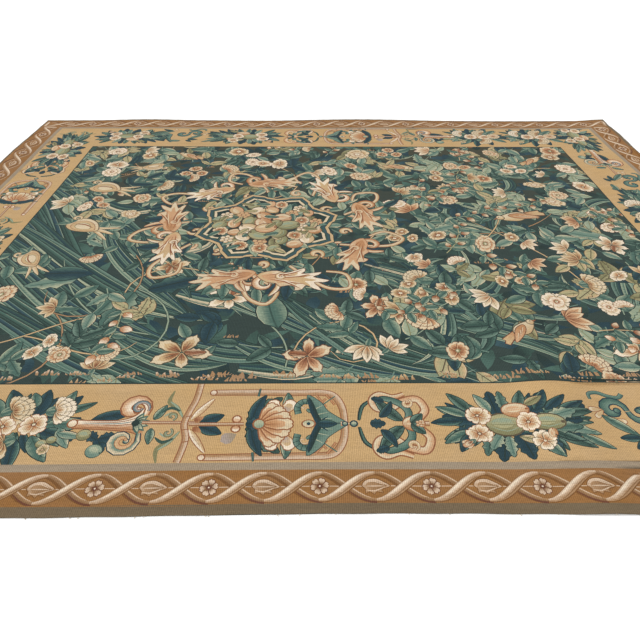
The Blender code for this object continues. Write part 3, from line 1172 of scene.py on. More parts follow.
def blade(path, width, first_lane, lanes, rim):
    """One blade along a path. Its lanes take their tones in turn, from the first lane's on."""
    half = [0.5 * w for w in taper(len(path), width * 0.45, width, 0.002)]
    strip(path, [w + 0.004 for w in half], [w + 0.004 for w in half], "night")
    for lane in range(lanes):
        middle = (2 * lane + 1) / lanes - 1
        dark, light = LANES[(lane + first_lane) % len(LANES)]
        if lane == 0:
            dark, light = "teal", rim
        spine, _ = sides(path, [w * middle for w in half], half)
        strip(spine, [w / lanes for w in half], [w / lanes for w in half], dark, light)
    for lane in range(1, lanes):
        share = 2 * lane / lanes - 1
        crease, _ = sides(path, [w * share for w in half], half)
        start = (lane * 2 + first_lane) % 4
        yarn = ("night", "sea", "night", "sage")[(lane + first_lane) % 4]
        line(crease[start:-2], 0.001, 0.0032, 0.001, yarn)
    rim_path, _ = sides(path, [-w for w in half], half)
    line(rim_path[1:], 0.001, 0.0050, 0.001, rim)


cartoon.layer = BLADE_LAYER
for k in range(15):
    drop = 0.62 - 0.098 * k
    path = arc(-1.46, drop, -40 + chance.uniform(-14, 14), -60 + 2 * k, chance.uniform(66, 112),
               chance.uniform(0.95, 1.25) + 0.02 * k)
    blade(path, chance.uniform(0.085, 0.125), k, 6, LIGHT_RIMS[k % 4])
    if k % 4 == 2:
        blade(arc(-1.30 + 0.07 * k, drop - 0.12, -50 + 3 * k, -20, 190, 0.50), 0.085, k, 3, "cream")
for k in range(14):
    path = arc(-1.02 + 0.085 * k, 0.04 - 0.058 * k, -76 + 3 * k + chance.uniform(-10, 10), 96 - 3 * k,
               chance.uniform(-110, -40), chance.uniform(0.60, 0.90))
    blade(path, chance.uniform(0.07, 0.105), k + 2, 6, LIGHT_RIMS[k % 3])
for k in range(6):
    path = arc(-0.95 + 0.20 * k, -0.72 - 0.01 * k, -30 + chance.uniform(-10, 10), 30,
               chance.uniform(-30, 40), 0.42)
    blade(path, 0.075, k, 5, ("sea", "sage")[k % 2])
for k in range(8):
    path = arc(0.05 + 0.05 * k, -0.20 - 0.065 * k, -24 + chance.uniform(-10, 10), -20,
               chance.uniform(-10, 30), chance.uniform(0.45, 0.65))
    blade(path, chance.uniform(0.045, 0.070), k, 4, ("sage", "cream", "sea", "sage")[k % 4])

# Fans of blades elsewhere, with the tip of each curled over.
for x, y, first, spread, count, reach in (
    (0.36, -0.52, 10, 100, 5, 0.42), (0.40, -0.50, -80, 70, 4, 0.44), (-0.52, 0.82, 120, 160, 5, 0.26),
    (0.92, 0.56, -60, 200, 6, 0.28), (-1.20, 0.78, 100, -170, 6, 0.24), (1.10, -0.58, 20, 150, 5, 0.30),
    (0.60, 0.24, 200, 150, 5, 0.26), (0.26, 0.86, 180, 180, 5, 0.24), (1.22, 0.16, 60, 160, 5, 0.24),
    (0.75, -0.05, 100, 120, 4, 0.30),
):
    for k in range(count):
        angle = first + spread * k / (count - 1)
        hand = 1 if k % 2 else -1
        path = arc(x, y, angle, 30 * hand, chance.uniform(20, 110) * hand, reach * chance.uniform(0.75, 1.15),
                   12)
        blade(path, 0.052, chance.choice((0, 2, 3)), 3, chance.choice(("sage", "sea", "sage", "pale_sage")))

# The wreath in the middle: a heap of fruit inside a cusped strap, with fleshy leaf heads
# and loops of ribbon all round it.
WREATH_LAYER = 18
WREATH_SIZE = (0.30, 0.27)
WREATH_LEAVES = 84
WREATH_CURLS = 18
WREATH_HEADS = 9
HEAP_LEAVES = 34
WREATH_TONES = (SEA_LEAF, PALE_LEAF, SAGE_LEAF, BLUE_LEAF, SEA_LEAF, TEAL_LEAF)
HEAP_FRUIT = (MELON, SAND_FRUIT, PEACH_FRUIT, MELON, PALE_FRUIT, SAND_FRUIT)
HEAP_SPRIGS = (OLIVE_LEAF, SAGE_LEAF, SEA_LEAF, TAN_LEAF)
HEAD_DARK = ("rust", "apricot", "peach", "rust", "cream")
HEAD_LIGHT = ("maroon", "peach", "sand", "rust", "ivory")
cx, cy = -0.29, 0.03


def cusped(cusps, depth, rim=0.0, count=144):
    """An outline of hollow arches that meet in sharp outward points, a rim wider than the wreath."""
    ring = []
    for k in range(count):
        angle = math.tau * k / count
        share = (cusps * k / count) % 1.0
        away = 2 * min(share, 1 - share)
        reach = 1.0 - depth * away ** 0.75 - 0.035 * (away > 0.45)
        ring.append(around(angle + 0.3, WREATH_SIZE[0] * reach + rim, WREATH_SIZE[1] * reach + rim))
    return ring


HEAD_SHAPE = (
    (-0.95, 0.02), (-0.74, 0.24), (-0.42, 0.34), (-0.14, 0.28), (0.06, 0.40), (0.34, 0.58), (0.38, 0.42),
    (0.30, 0.30), (0.56, 0.36), (0.86, 0.46), (0.80, 0.32), (0.66, 0.20), (0.90, 0.14), (1.14, 0.10),
    (0.98, -0.02), (0.72, -0.06), (0.86, -0.22), (0.98, -0.40), (0.74, -0.34), (0.52, -0.22), (0.44, -0.42),
    (0.24, -0.50), (0.22, -0.34), (0.02, -0.30), (-0.20, -0.40), (-0.34, -0.26), (-0.62, -0.24),
)


def leaf_head(size, hand, tones):
    """A fleshy leaf head with ragged fingers, a hooked stem behind it and a small scroll on top."""
    edge, dark, light, rib, shine = tones
    with cartoon.at(0, 0, size, 0, hand):
        edged(arc(-0.60, 0.10, 200, 100, 170, 1.25), 0.12, 0.17, 0.01, 0.035, edge, dark, shine)
        edged(arc(-0.30, -0.20, -60, -120, 60, 0.70), 0.09, 0.12, 0.01, 0.03, edge, light, shine)
        shape = smooth(HEAD_SHAPE, 2, True)
        cartoon.patch(shape, light, shine, (-0.7, -0.4), (0.3, 0.5))
        cartoon.patch([(0.76 * x - 0.10, 0.62 * y) for x, y in shape], dark, light, (-0.7, -0.1), (0.6, 0.2))
        for k in range(0, len(shape), 2):
            line([shape[k - 2], shape[k - 1], shape[k]], 0.016, 0.022, 0.016, edge)
        for x, y, heading, bend, length in (
            (-0.66, 0.08, 20, -30, 0.80), (-0.60, 0.0, 4, 16, 1.30), (-0.58, -0.08, -10, 10, 1.10),
            (-0.30, 0.16, 10, 40, 0.70), (-0.24, -0.12, -16, -16, 0.70), (0.10, 0.10, 16, 20, 0.50),
        ):
            path = arc(x, y, heading, bend, 0, length, 6)
            line(path, 0.01, 0.045, 0.01, rib)
            line([(px, py + 0.045) for px, py in path[1:-1]], 0.01, 0.032, 0.01, shine)
        curl(-0.16, 0.24, 0.17, 150, 1, 0.085, edge, light, shine, 1.0)


cartoon.layer = WREATH_LAYER
with cartoon.at(cx, cy):
    claim(cx, cy, 0.36)
    for k in range(WREATH_LEAVES):
        angle, reach = chance.uniform(0, math.tau), chance.uniform(0.29, 0.60)
        leaf(*around(angle, reach, reach * 0.92), chance.uniform(0.08, 0.12), 0.042,
             chance.uniform(0, 360), chance.choice(WREATH_TONES), veins=2)
    for k in range(WREATH_CURLS):
        angle, reach = math.tau * (k + 0.5) / WREATH_CURLS, chance.uniform(0.335, 0.40)
        curl(*around(angle, reach, reach * 0.92), chance.uniform(0.022, 0.034), math.degrees(angle) + 90,
             1 if k % 2 else -1, 0.017, "rust", ("peach", "sand")[k % 2], "cream", 0.9)
    for k in range(WREATH_HEADS):
        angle = math.tau * k / WREATH_HEADS + 0.15 + chance.uniform(-0.08, 0.08)
        hand = 1 if k % 2 else -1
        x, y = around(angle, 0.46, 0.43)
        for spin in (-60, -20, 20, 60):
            leaf(x * 1.02, y * 1.02, 0.13, 0.05, math.degrees(angle) + spin,
                 chance.choice((SEA_LEAF, TEAL_LEAF, NAVY_LEAF)), veins=2)
            leaf(x * 0.80, y * 0.80, 0.10, 0.04, math.degrees(angle) + 3 * spin,
                 chance.choice((SEA_LEAF, TEAL_LEAF, BLUE_LEAF)))
        bow = [(0.80, 0.06), (1.06, 0.16), (1.26, 0.24), (1.34, 0.36), (1.16, 0.44), (1.02, 0.34)]
        loop = smooth([around(angle + a, 0.46 * r, 0.43 * r) for r, a in bow], 4)
        edged(loop, 0.010, 0.014, 0.008, 0.0035, "rust", "sand", "cream")
        with cartoon.at(x, y, 1, math.degrees(angle) + 74 * hand + chance.uniform(-24, 24)):
            leaf_head(chance.uniform(0.124, 0.142), hand, (HEAD_DARK, HEAD_LIGHT)[k % 2])
        claim(cx + x, cy + y, 0.12)
    for rim, yarn in (
        (0.042, "night"), (0.038, "sand"), (0.024, "night"), (0.021, "blue"), (0.010, "pine"),
        (0.002, "night"), (-0.001, "cream"), (-0.015, "night"),
    ):
        cartoon.patch(cusped(8, 0.17, rim), yarn)
    heap = random.Random(12)
    for k in range(HEAP_LEAVES):
        angle = math.tau * k / HEAP_LEAVES
        tones = (TEAL_LEAF, SAGE_LEAF, OLIVE_LEAF, SEA_LEAF, PALE_LEAF)[k % 5]
        reach = heap.uniform(0.12, 0.19)
        leaf(*around(angle, reach, reach * 0.84), 0.11, 0.046, math.degrees(angle) + heap.uniform(-40, 50),
             tones, 0.1, veins=2)
    spots = []
    for ring, count in ((1.0, 17), (0.72, 12), (0.42, 7), (0.14, 3)):
        for k in range(count):
            angle = math.tau * k / count + ring * 2 + heap.uniform(-0.08, 0.08)
            spots.append((*around(angle, 0.222 * ring, 0.196 * ring), ring))
    for k, (x, y, ring) in enumerate(spots):
        kind = heap.random()
        if kind < 0.62 or ring < 0.5:
            length = heap.uniform(0.064, 0.086) * (1.25 if ring < 0.6 else 0.9)
            fruit(x, y, length, length * heap.uniform(0.7, 0.92), heap.uniform(0, 180),
                  heap.choice(HEAP_FRUIT), heap.choice((1, 3)))
        elif kind < 0.80:
            berries(x, y, 0.034, heap.uniform(0, 60), heap.choice((PALE_FRUIT, SAND_FRUIT)))
        else:
            open_flower(x, y, 0.036, heap.uniform(0, 72), PEACH_BLOOM)
        if k % 2 == 0:
            leaf(x, y, 0.07, 0.028, heap.uniform(0, 360), heap.choice(HEAP_SPRIGS), veins=2)

# Flowers and leaves round the wreath. A few birds, folded blooms and large flowers have
# their own places. Then come flowers of nine kinds wherever there is room, vines, broad
# leaves and twigs between them, and bud sprays on top.
BIRD_LAYER = 16
FLOWER_LAYER = 15
TWIG_LAYER = 14
VINE_LAYER = 13
BLOOMS = 77
BLOOM_TRIES = 6000
VINES = 22
BROAD_LEAVES = 34
TWIG_TRIES = 9000
TWIG_GAP = 0.098
MEADOW_TWIG_GAP = 0.230
BUD_SPRAYS = 12
BLOOM_TONES = (PEACH_BLOOM, CREAM_BLOOM, SAND_BLOOM, SAND_BLOOM, PALE_BLOOM, PEACH_BLOOM)
NEAR_TONES = (SEA_LEAF, TEAL_LEAF, SAGE_LEAF, SEA_LEAF, BLUE_LEAF, SEA_LEAF, NAVY_LEAF, PALE_LEAF, TEAL_LEAF)
FAR_TONES = (SEA_LEAF, SAGE_LEAF, PALE_LEAF, TAN_LEAF, SAGE_LEAF, OLIVE_LEAF, PALE_LEAF, TAN_LEAF)


def big_flower(x, y, kind, size=1.0):
    """A long-petalled flower with five or six pointed petals, one of them cupped."""
    tones = (SAND_BLOOM, PALE_BLOOM, PEACH_BLOOM)[kind % 3]
    count = 5 + kind % 2
    with cartoon.at(x, y, size, 47 * kind, 1, 0.86):
        for k in range(count):
            with cartoon.at(0, 0, chance.uniform(0.84, 1.12), 360 * k / count + chance.uniform(-12, 12)):
                petal(0.088, 0.046, tones, -0.14, 1)
                for slant in (-0.010, 0.010):
                    line([(0.020, slant * 0.4), (0.056, slant)], 0.0015, 0.0025, 0.001, tones[1])
        with cartoon.at(0.008, 0.0, 1, 40 * kind):
            leaf(0, 0, 0.075, 0.046, 0, ("night", "rust", "cream", "maroon", "ivory"), teeth=3)
    claim(x, y, 0.075 * size)


def arum(x, y, size, turn, flip):
    """A large folded flower: a swelling tan spathe with a rolled lip and two streamers."""
    with cartoon.at(x, y, size, turn, flip):
        for bend, wide in ((-0.30, 0.10), (-0.05, 0.12), (0.22, 0.09)):
            edged(smooth([(0.2, 0.0), (0.7, bend * 0.5), (1.2, bend * 1.4)], 4), wide, wide * 1.1, 0.01,
                  0.015, "umber", "sand", "cream")
        body = smooth([(-0.50, 0.0), (-0.42, 0.26), (-0.10, 0.42), (0.28, 0.34), (0.52, 0.12), (0.60, -0.08),
                       (0.30, -0.24), (-0.10, -0.30), (-0.40, -0.20)], 3, True)
        cartoon.patch(grown(body, 0.03), "umber")
        cartoon.patch(body, "sand", "cream", (0, -0.3), (0, 0.4))
        for shrink, yarn in ((0.78, "rust"), (0.74, "sand"), (0.50, "olive"), (0.46, "cream")):
            cartoon.patch([(px * shrink + 0.04, py * shrink - 0.02) for px, py in body], yarn)
        line(smooth([(-0.30, 0.02), (0.05, 0.10), (0.40, 0.02)], 4), 0.01, 0.05, 0.01, "rust")
        for spin in (200, 150, 100):
            leaf(-0.40, 0.06, 0.50, 0.20, spin, SEA_LEAF, 0.2, veins=2)
        curl(-0.30, 0.26, 0.16, 60, 1, 0.08, "umber", "sand", "cream", 1.0)
    claim(x, y, size * 0.55)


def bird(x, y, size, turn, flip):
    """A small perching bird with striped wings."""
    with cartoon.at(x, y, size, turn, flip):
        tail = [(-0.35, 0.02), (-1.05, -0.20), (-1.10, -0.06), (-0.98, 0.04), (-1.02, 0.16), (-0.35, 0.20)]
        cartoon.patch(grown(tail, 0.04), "maroon")
        cartoon.patch(tail, "apricot", "sand", (-0.3, 0), (-1.0, 0))
        body = smooth([(-0.45, 0.08), (-0.20, 0.32), (0.15, 0.34), (0.42, 0.30), (0.62, 0.24), (0.58, 0.04),
                       (0.38, -0.10), (0.05, -0.22), (-0.28, -0.12)], 3, True)
        cartoon.patch(grown(body, 0.035), "umber")
        cartoon.patch(body, "sand", "cream", (0, -0.2), (0, 0.3))
        disc(0.60, 0.20, 0.17, "umber", count=10)
        disc(0.60, 0.20, 0.135, "sand", "cream", 10)
        cartoon.patch([(0.72, 0.24), (0.92, 0.16), (0.72, 0.13)], "rust")
        disc(0.64, 0.24, 0.028, "night", count=6)
        wing = smooth([(0.22, 0.24), (0.10, 0.02), (-0.30, -0.18), (-0.78, -0.26), (-0.50, 0.02),
                       (-0.18, 0.24)], 3, True)
        cartoon.patch(grown(wing, 0.03), "maroon")
        cartoon.patch(wing, "apricot", "peach", (0.2, 0.2), (-0.7, -0.2))
        for k in range(5):
            line([(0.08 - 0.10 * k, 0.14 - 0.03 * k), (-0.34 - 0.08 * k, -0.12 - 0.025 * k)], 0.03, 0.035,
                 0.01, "rust" if k % 2 else "cream")
    claim(x, y, size * 0.9)


cartoon.layer = BIRD_LAYER
for x, y, size, turn, flip in (
    (0.66, -0.70, 0.095, 35, 1), (0.88, 0.10, 0.13, 200, -1), (0.40, 0.66, 0.09, 0, -1),
    (-0.80, 0.80, 0.09, 160, -1), (1.16, 0.74, 0.09, 30, 1),
):
    bird(x, y, size, turn, flip)
for x, y, size, turn, flip in (
    (-1.16, 0.40, 0.15, -10, 1), (-1.14, 0.02, 0.15, -20, 1), (-1.26, -0.24, 0.12, -60, -1),
    (-0.96, 0.66, 0.11, 200, 1),
):
    arum(x, y, size, turn, flip)
cartoon.layer = FLOWER_LAYER
for k, (x, y, size) in enumerate((
    (-0.52, -0.80, 1.0), (-0.40, -0.50, 0.95), (-0.10, -0.82, 1.0), (-0.66, -0.30, 0.8),
    (1.02, -0.80, 0.9), (0.16, -0.56, 0.8), (-1.24, -0.74, 0.9), (1.22, -0.14, 0.8),
)):
    big_flower(x, y, k, size)


def cup_flower(x, y, size, turn, tones, count=5):
    """A flower from the side: pointed petals fanned along +X, striped and pale along their rims."""
    edge, base, body, rim, _ = tones
    half = [(0.02, 0.08), (0.28, 0.36), (0.52, 0.50), (0.76, 0.34), (0.92, 0.12)]
    with cartoon.at(x, y, size, turn):
        for spin in (-62, 58, 170):
            leaf(-0.06, 0, 0.60, 0.26, spin, SEA_LEAF, veins=2)
        for k in outside_in(count):
            fan = 62 * (2 * k / (count - 1) - 1)
            with cartoon.at(-0.10, 0, chance.uniform(0.86, 1.10), fan + chance.uniform(-8, 8)):
                outline = [(px, 0.44 * py) for px, py in half] + [(1.0, 0.0)]
                outline += [(px, -0.44 * py) for px, py in reversed(half)]
                cartoon.patch(grown(outline, 0.03), edge)
                cartoon.patch(outline, body, rim, (0.30, 0), (0.85, 0))
                inner = [(0.84 * px + 0.02, 0.60 * py) for px, py in outline]
                cartoon.patch(inner, base, body, (0.10, 0), (0.75, 0))
                line([(0.10, 0), (0.78, 0)], 0.02, 0.03, 0.008, edge)
    claim(x, y, size * 0.6)


def bud_spray(x, y, length, turn, tones):
    """A thin bending stem with almond-shaped buds on both sides."""
    path = arc(x, y, turn, chance.uniform(-70, 70), 0, length, 7)
    line(path, 0.0042, 0.0042, 0.002, chance.choice(("sand", "sage", "olive_light")))
    edge, base, _, rim, _ = tones
    for k in range(1, 7):
        side = 1 if k % 2 else -1
        spin = turn + side * chance.uniform(30, 80)
        with cartoon.at(path[k][0], path[k][1], chance.uniform(0.040, 0.056), spin):
            line([(0, 0), (0.34, 0.02)], 0.08, 0.06, 0.05, "olive_light")
            almond = [(0.30, 0.04), (0.46, 0.24), (0.72, 0.29), (0.98, 0.16), (1.14, 0.0),
                      (0.98, -0.16), (0.72, -0.29), (0.46, -0.24), (0.30, -0.04)]
            cartoon.patch(grown(almond, 0.05), edge)
            cartoon.patch(almond, base, rim, (0.35, 0), (1.05, 0.1))
            line([(0.40, 0.06), (0.90, 0.10)], 0.02, 0.06, 0.01, rim)
        leaf(path[k][0], path[k][1], 0.06, 0.03, spin - side * 110, SEA_LEAF, veins=2)


def bloom(x, y, radius, kind):
    """A flower of one of nine kinds, its tones and turn by chance."""
    turn = chance.uniform(0, 360)
    tones = chance.choice(BLOOM_TONES)
    squash = chance.uniform(0.62, 0.95)
    if kind in (0, 5):
        open_flower(x, y, radius, turn, tones, squash=squash)
    elif kind in (1, 7):
        cup_flower(x, y, radius * 1.5, turn, tones, chance.choice((4, 5)))
    elif kind in (3, 2):
        open_flower(x, y, radius * 1.08, turn, tones, chance.choice((6, 7, 8)), double=True, squash=squash)
    elif kind == 8:
        peony(x, y, radius * 1.15, turn, tones)
    elif kind == 4:
        bud_spray(x, y, 0.30, turn, tones)
    else:
        for dx, dy in ((0.0, 0.040), (0.040, -0.018), (-0.040, -0.018)):
            open_flower(x + dx, y + dy, 0.036, turn + 900 * dx, tones, squash=squash)
    claim(x, y, radius)


placed = 0
for _ in range(BLOOM_TRIES):
    x, y = anywhere(0.06, 0.07, 0.06, 0.06)
    radius = chance.uniform(0.040, 0.066)
    if placed >= BLOOMS or not free(x, y, radius + (0.110 if meadow(x, y) else 0.042)):
        continue
    bloom(x, y, radius, placed % 9)
    placed += 1
    if placed % 2 and placed % 9 != 4:
        angle = chance.uniform(0, math.tau)
        bloom(x + 1.5 * radius * math.cos(angle), y + 1.5 * radius * math.sin(angle), radius * 0.85,
              chance.choice((0, 1, 3, 8)))


def twig(x, y, length, turn, tones, pairs=3, size=0.075):
    """A bending twig with a leaf at its tip and leaves in pairs along it."""
    swing = chance.uniform(-0.6, 0.6)
    heading = math.radians(turn)
    path = [(x + length * t * math.cos(heading + swing * t), y + length * t * math.sin(heading + swing * t))
            for t in (0, 0.25, 0.5, 0.75, 1.0)]
    line(path, 0.0045, 0.0040, 0.002, chance.choice(("sage", "sea", "pine")))
    for k in range(pairs):
        foot = path[k + 1]
        for side in (1, -1):
            grow = size * chance.uniform(0.75, 1.2)
            leaf(foot[0], foot[1], grow, grow * chance.uniform(0.42, 0.58),
                 turn + math.degrees(swing) * 0.6 + side * chance.uniform(36, 66), tones,
                 chance.uniform(-0.2, 0.2), teeth=chance.choice((0, 0, 0, 3)), veins=2)
    leaf(path[-1][0], path[-1][1], size, size * 0.5, turn + math.degrees(swing), tones, veins=2)


def by_wreath(x, y, across, up):
    """Whether a place lies in an oval round the wreath, given by its squared half sizes."""
    return (x - cx) ** 2 / across + (y - cy) ** 2 / up < 1


cartoon.layer = VINE_LAYER
for _ in range(VINES):
    vine = arc(*anywhere(), chance.uniform(0, 360), chance.choice((-1, 1)) * chance.uniform(70, 150),
               chance.uniform(-200, 200), chance.uniform(0.4, 0.8))
    line(vine, 0.011, 0.010, 0.004, "night")
    line(vine, 0.005, 0.006, 0.002, chance.choice(("sand", "sage", "sand", "ribbon_dim")))

for _ in range(BROAD_LEAVES):
    x, y = anywhere(0.05, 0.05, 0.12, 0.10)
    if not by_wreath(x, y, 0.30, 0.24):
        long = chance.uniform(0.15, 0.22)
        leaf(x, y, long, long * chance.uniform(0.44, 0.56), chance.uniform(0, 360),
             chance.choice((SEA_LEAF, TEAL_LEAF, BLUE_LEAF, SEA_LEAF, SAGE_LEAF)),
             chance.uniform(-0.2, 0.2), teeth=chance.choice((3, 4, 0)))

cartoon.layer = TWIG_LAYER
twigs = []
for _ in range(TWIG_TRIES):
    x, y = anywhere()
    near = MEADOW_TWIG_GAP if meadow(x, y) else TWIG_GAP
    if by_wreath(x, y, 0.19, 0.13):
        continue
    if all((x - a) ** 2 + (y - b) ** 2 > near * near for a, b in twigs):
        twigs.append((x, y))
for x, y in twigs:
    warm = chance.random() < 0.22 + 0.45 * (y - field_low) / (field_high - field_low)
    tones = chance.choice(FAR_TONES if warm else NEAR_TONES)
    twig(x, y, chance.uniform(0.10, 0.16), chance.uniform(0, 360), tones, chance.choice((1, 2)),
         chance.uniform(0.078, 0.108))

cartoon.layer = FLOWER_LAYER
for _ in range(BUD_SPRAYS):
    x, y = chance.uniform(0.30, field_right - 0.10), chance.uniform(field_low + 0.20, field_high - 0.10)
    bud_spray(x, y, chance.uniform(0.28, 0.40), chance.uniform(0, 360),
              chance.choice((PEACH_BLOOM, SAND_BLOOM)))

# Dry grass in pale yarns along the near edge of the field, and a narrow dark line that
# closes the field on all four sides against the ochre.
GRASS_LAYER = 20
GRASS_TUFTS = 46

cartoon.layer = GRASS_LAYER
for k in range(GRASS_TUFTS):
    x = field_left + chance.uniform(0.03, field_right - field_left - 0.03)
    tuft(x, field_low + chance.uniform(0.006, 0.045), chance.uniform(0.022, 0.040), k,
         ("ribbon_dim", "ribbon", "sand")[k % 3])
for left, low, right, high in (
    (field_left, field_low, field_right, field_low + FIELD_LINE),
    (field_left, field_high - FIELD_LINE, field_right, field_high),
    (field_left, field_low, field_left + FIELD_LINE, field_high),
    (field_right - FIELD_LINE, field_low, field_right, field_high),
):
    cartoon.patch(rectangle(left, low, right, high), "night")

# Patches that later ones cover completely are never woven. They are found from the top
# down on a fine grid of stitches, first in the border and then in the field.
STITCH = 0.001
ROOM_ROUND = 1.0
BORDER_LAYERS = range(OCHRE_LAYER, GROUND_LAYER)
FIELD_LAYERS = range(GROUND_LAYER, GRASS_LAYER + 1)


def stitches_inside(points):
    """Which stitches of the box round an outline lie inside it, and where the box starts."""
    xs, ys = points[:, 0], points[:, 1]
    column, row = int(math.floor(xs.min() / STITCH)), int(math.floor(ys.min() / STITCH))
    columns = int(math.ceil(xs.max() / STITCH)) - column
    rows = int(math.ceil(ys.max() / STITCH)) - row
    px = (column + np.arange(columns) + 0.5)[None, :] * STITCH
    py = (row + np.arange(rows) + 0.5)[:, None] * STITCH
    inside = np.zeros((rows, columns), dtype=bool)
    for (x0, y0), (x1, y1) in zip(points, np.roll(points, -1, axis=0)):
        if y0 != y1:
            inside ^= ((y0 > py) != (y1 > py)) & (px < x0 + (py - y0) * (x1 - x0) / (y1 - y0))
    return inside, column, row


def leave_out_hidden(layers, box):
    """Work from the top patch down, and drop each one that nothing of shows inside a box."""
    columns = int((RUG_LENGTH + 2 * ROOM_ROUND) / STITCH)
    rows = int((RUG_WIDTH + 2 * ROOM_ROUND) / STITCH)
    covered = np.ones((rows, columns), dtype=bool)
    shift = np.array([half_length + ROOM_ROUND, half_width + ROOM_ROUND])
    left, low, right, high = ((np.array(box) + np.tile(shift, 2)) / STITCH).astype(int)
    covered[low:high, left:right] = False
    for layer in sorted(set(cartoon.layers) & set(layers), reverse=True):
        kept = []
        for outline, look in reversed(cartoon.layers[layer]):
            points = np.array(outline) + shift
            inside, column, row = stitches_inside(points)
            part = covered[row:row + inside.shape[0], column:column + inside.shape[1]]
            if inside.any():
                if part[inside].all():
                    continue
                part |= inside
            else:
                spot = (points.mean(0) / STITCH).astype(int)
                if covered[spot[1], spot[0]]:
                    continue
            kept.append((outline, look))
        cartoon.layers[layer] = kept[::-1]


leave_out_hidden(BORDER_LAYERS, inset_box(0.0))
leave_out_hidden(FIELD_LAYERS, inset_box(FIELD_INSET))

# The woven faces. The cartoon is cut into the near, far, left and right borders and four
# strips of field, and each becomes a sheet of yarn patches that share their edges.
EDGE_STEP = 0.025
RIPPLE_STEP = 0.02
SEAM_GRID = 0.23
ON_GRID = 2e-5
ON_CUT = 2e-6
FLAT_ANGLE = math.radians(0.25)
WELD = 1e-6

# Now and then a patch floods its neighbours when the face is cut. It is passed over when
# it covers more than its own area by this share and this much.
FLOOD_SHARE = 1.02
FLOOD_AREA = 1e-5


def ground_ring(left, low, right, high):
    """The outline of one face, with close points so that neighbours meet."""
    def run(a, b):
        count = max(1, round(abs(b - a) / EDGE_STEP))
        return [a + (b - a) * k / count for k in range(count)]
    ring = [(x, low) for x in run(left, right)] + [(right, y) for y in run(low, high)]
    ring += [(x, high) for x in run(right, left)] + [(left, y) for y in run(high, low)]
    return ring


def ripple_points(left, low, right, high):
    """Extra points where the cloth is lifted, so that the face can bend there."""
    xs = np.arange(left + RIPPLE_STEP / 2, right, RIPPLE_STEP)
    ys = np.arange(low + RIPPLE_STEP / 2, high, RIPPLE_STEP)
    grid = np.array([(x, y) for x in xs for y in ys])
    return grid[near_ripple(grid[:, 0], grid[:, 1])]


def plain_faces(name, flat, corners, tops, cuts):
    """Join neighbouring triangles of one patch, then cut the result into few triangles."""
    mesh = bpy.data.meshes.new(name)
    mesh.from_pydata(lay_out(flat, CLOTH_THICKNESS).tolist(), [], corners.tolist())
    mesh.attributes.new("flat", "FLOAT_VECTOR", "POINT").data.foreach_set(
        "vector", np.column_stack((flat, np.zeros(len(flat)))).ravel())
    mesh.attributes.new("patch", "INT", "FACE").data.foreach_set("value", tops)

    loop_edges = np.empty(len(mesh.loops), dtype=np.int64)
    mesh.loops.foreach_get("edge_index", loop_edges)
    loop_tops = np.repeat(tops, 3)
    highest = np.zeros(len(mesh.edges), dtype=np.int64)
    lowest = np.full(len(mesh.edges), np.iinfo(np.int64).max)
    np.maximum.at(highest, loop_edges, loop_tops)
    np.minimum.at(lowest, loop_edges, loop_tops)
    ends = np.empty(2 * len(mesh.edges), dtype=np.int64)
    mesh.edges.foreach_get("vertices", ends)
    spots = flat[ends].reshape(-1, 2, 2)
    on_grid = (np.abs(spots / SEAM_GRID - np.round(spots / SEAM_GRID)) < ON_GRID).all(1).any(1)
    for axis, cut in cuts:
        on_grid |= (np.abs(spots[:, :, axis] - cut) < ON_CUT).all(1)
    lifted = near_ripple(flat[:, 0], flat[:, 1])[ends].reshape(-1, 2).any(1)
    mesh.edges.foreach_set("use_seam", (highest != lowest) | on_grid | lifted)

    shape = bmesh.new()
    shape.from_mesh(mesh)
    bmesh.ops.dissolve_limit(
        shape, angle_limit=FLAT_ANGLE, use_dissolve_boundaries=False,
        verts=shape.verts, edges=shape.edges, delimit={"SEAM"},
    )
    bmesh.ops.triangulate(shape, faces=shape.faces, quad_method="BEAUTY", ngon_method="BEAUTY")
    shape.to_mesh(mesh)
    shape.free()
    mesh.edges.foreach_set("use_seam", np.zeros(len(mesh.edges), dtype=bool))
    return mesh


def shown_patches(left, low, right, high, layers):
    """The points, faces and looks of the patches that reach into a box, over one plain ground."""
    points = ground_ring(left, low, right, high)
    patches = [list(range(len(points)))]
    looks = [(DYE_NUMBER["guard"], DYE_NUMBER["guard"], 0, 0, 1, 0)]
    for layer in sorted(set(cartoon.layers) & set(layers)):
        for outline, look in cartoon.layers[layer]:
            xs, ys = zip(*outline)
            if max(xs) > left and min(xs) < right and max(ys) > low and min(ys) < high:
                patches.append(list(range(len(points), len(points) + len(outline))))
                points.extend(outline)
                looks.append(look)
    return points, patches, looks


def flooded(points, patches, flat, corners, sources):
    """Which patches have spread past their own outlines while the face was cut."""
    ax, bx = flat[corners[:, 1]] - flat[corners[:, 0]], flat[corners[:, 2]] - flat[corners[:, 0]]
    area = 0.5 * np.abs(ax[:, 0] * bx[:, 1] - ax[:, 1] * bx[:, 0])
    counts = [len(ids) for ids in sources]
    spread = np.bincount(np.concatenate(sources).astype(int), np.repeat(area, counts), len(patches))
    sizes = np.array([area_of([points[k] for k in patch]) for patch in patches])
    floods = spread > FLOOD_SHARE * sizes + FLOOD_AREA
    floods[0] = False
    return floods


def read_back(mesh):
    """Each triangle's flat corners and patch, taken off the finished mesh."""
    corners = np.empty(3 * len(mesh.polygons), dtype=np.int64)
    mesh.loops.foreach_get("vertex_index", corners)
    tops = np.empty(len(mesh.polygons), dtype=np.int64)
    mesh.attributes["patch"].data.foreach_get("value", tops)
    flat = np.empty(3 * len(mesh.vertices))
    mesh.attributes["flat"].data.foreach_get("vector", flat)
    spots = flat.reshape(-1, 3)[corners.reshape(-1, 3), :2]
    mesh.attributes.remove(mesh.attributes["flat"])
    mesh.attributes.remove(mesh.attributes["patch"])
    return spots, tops


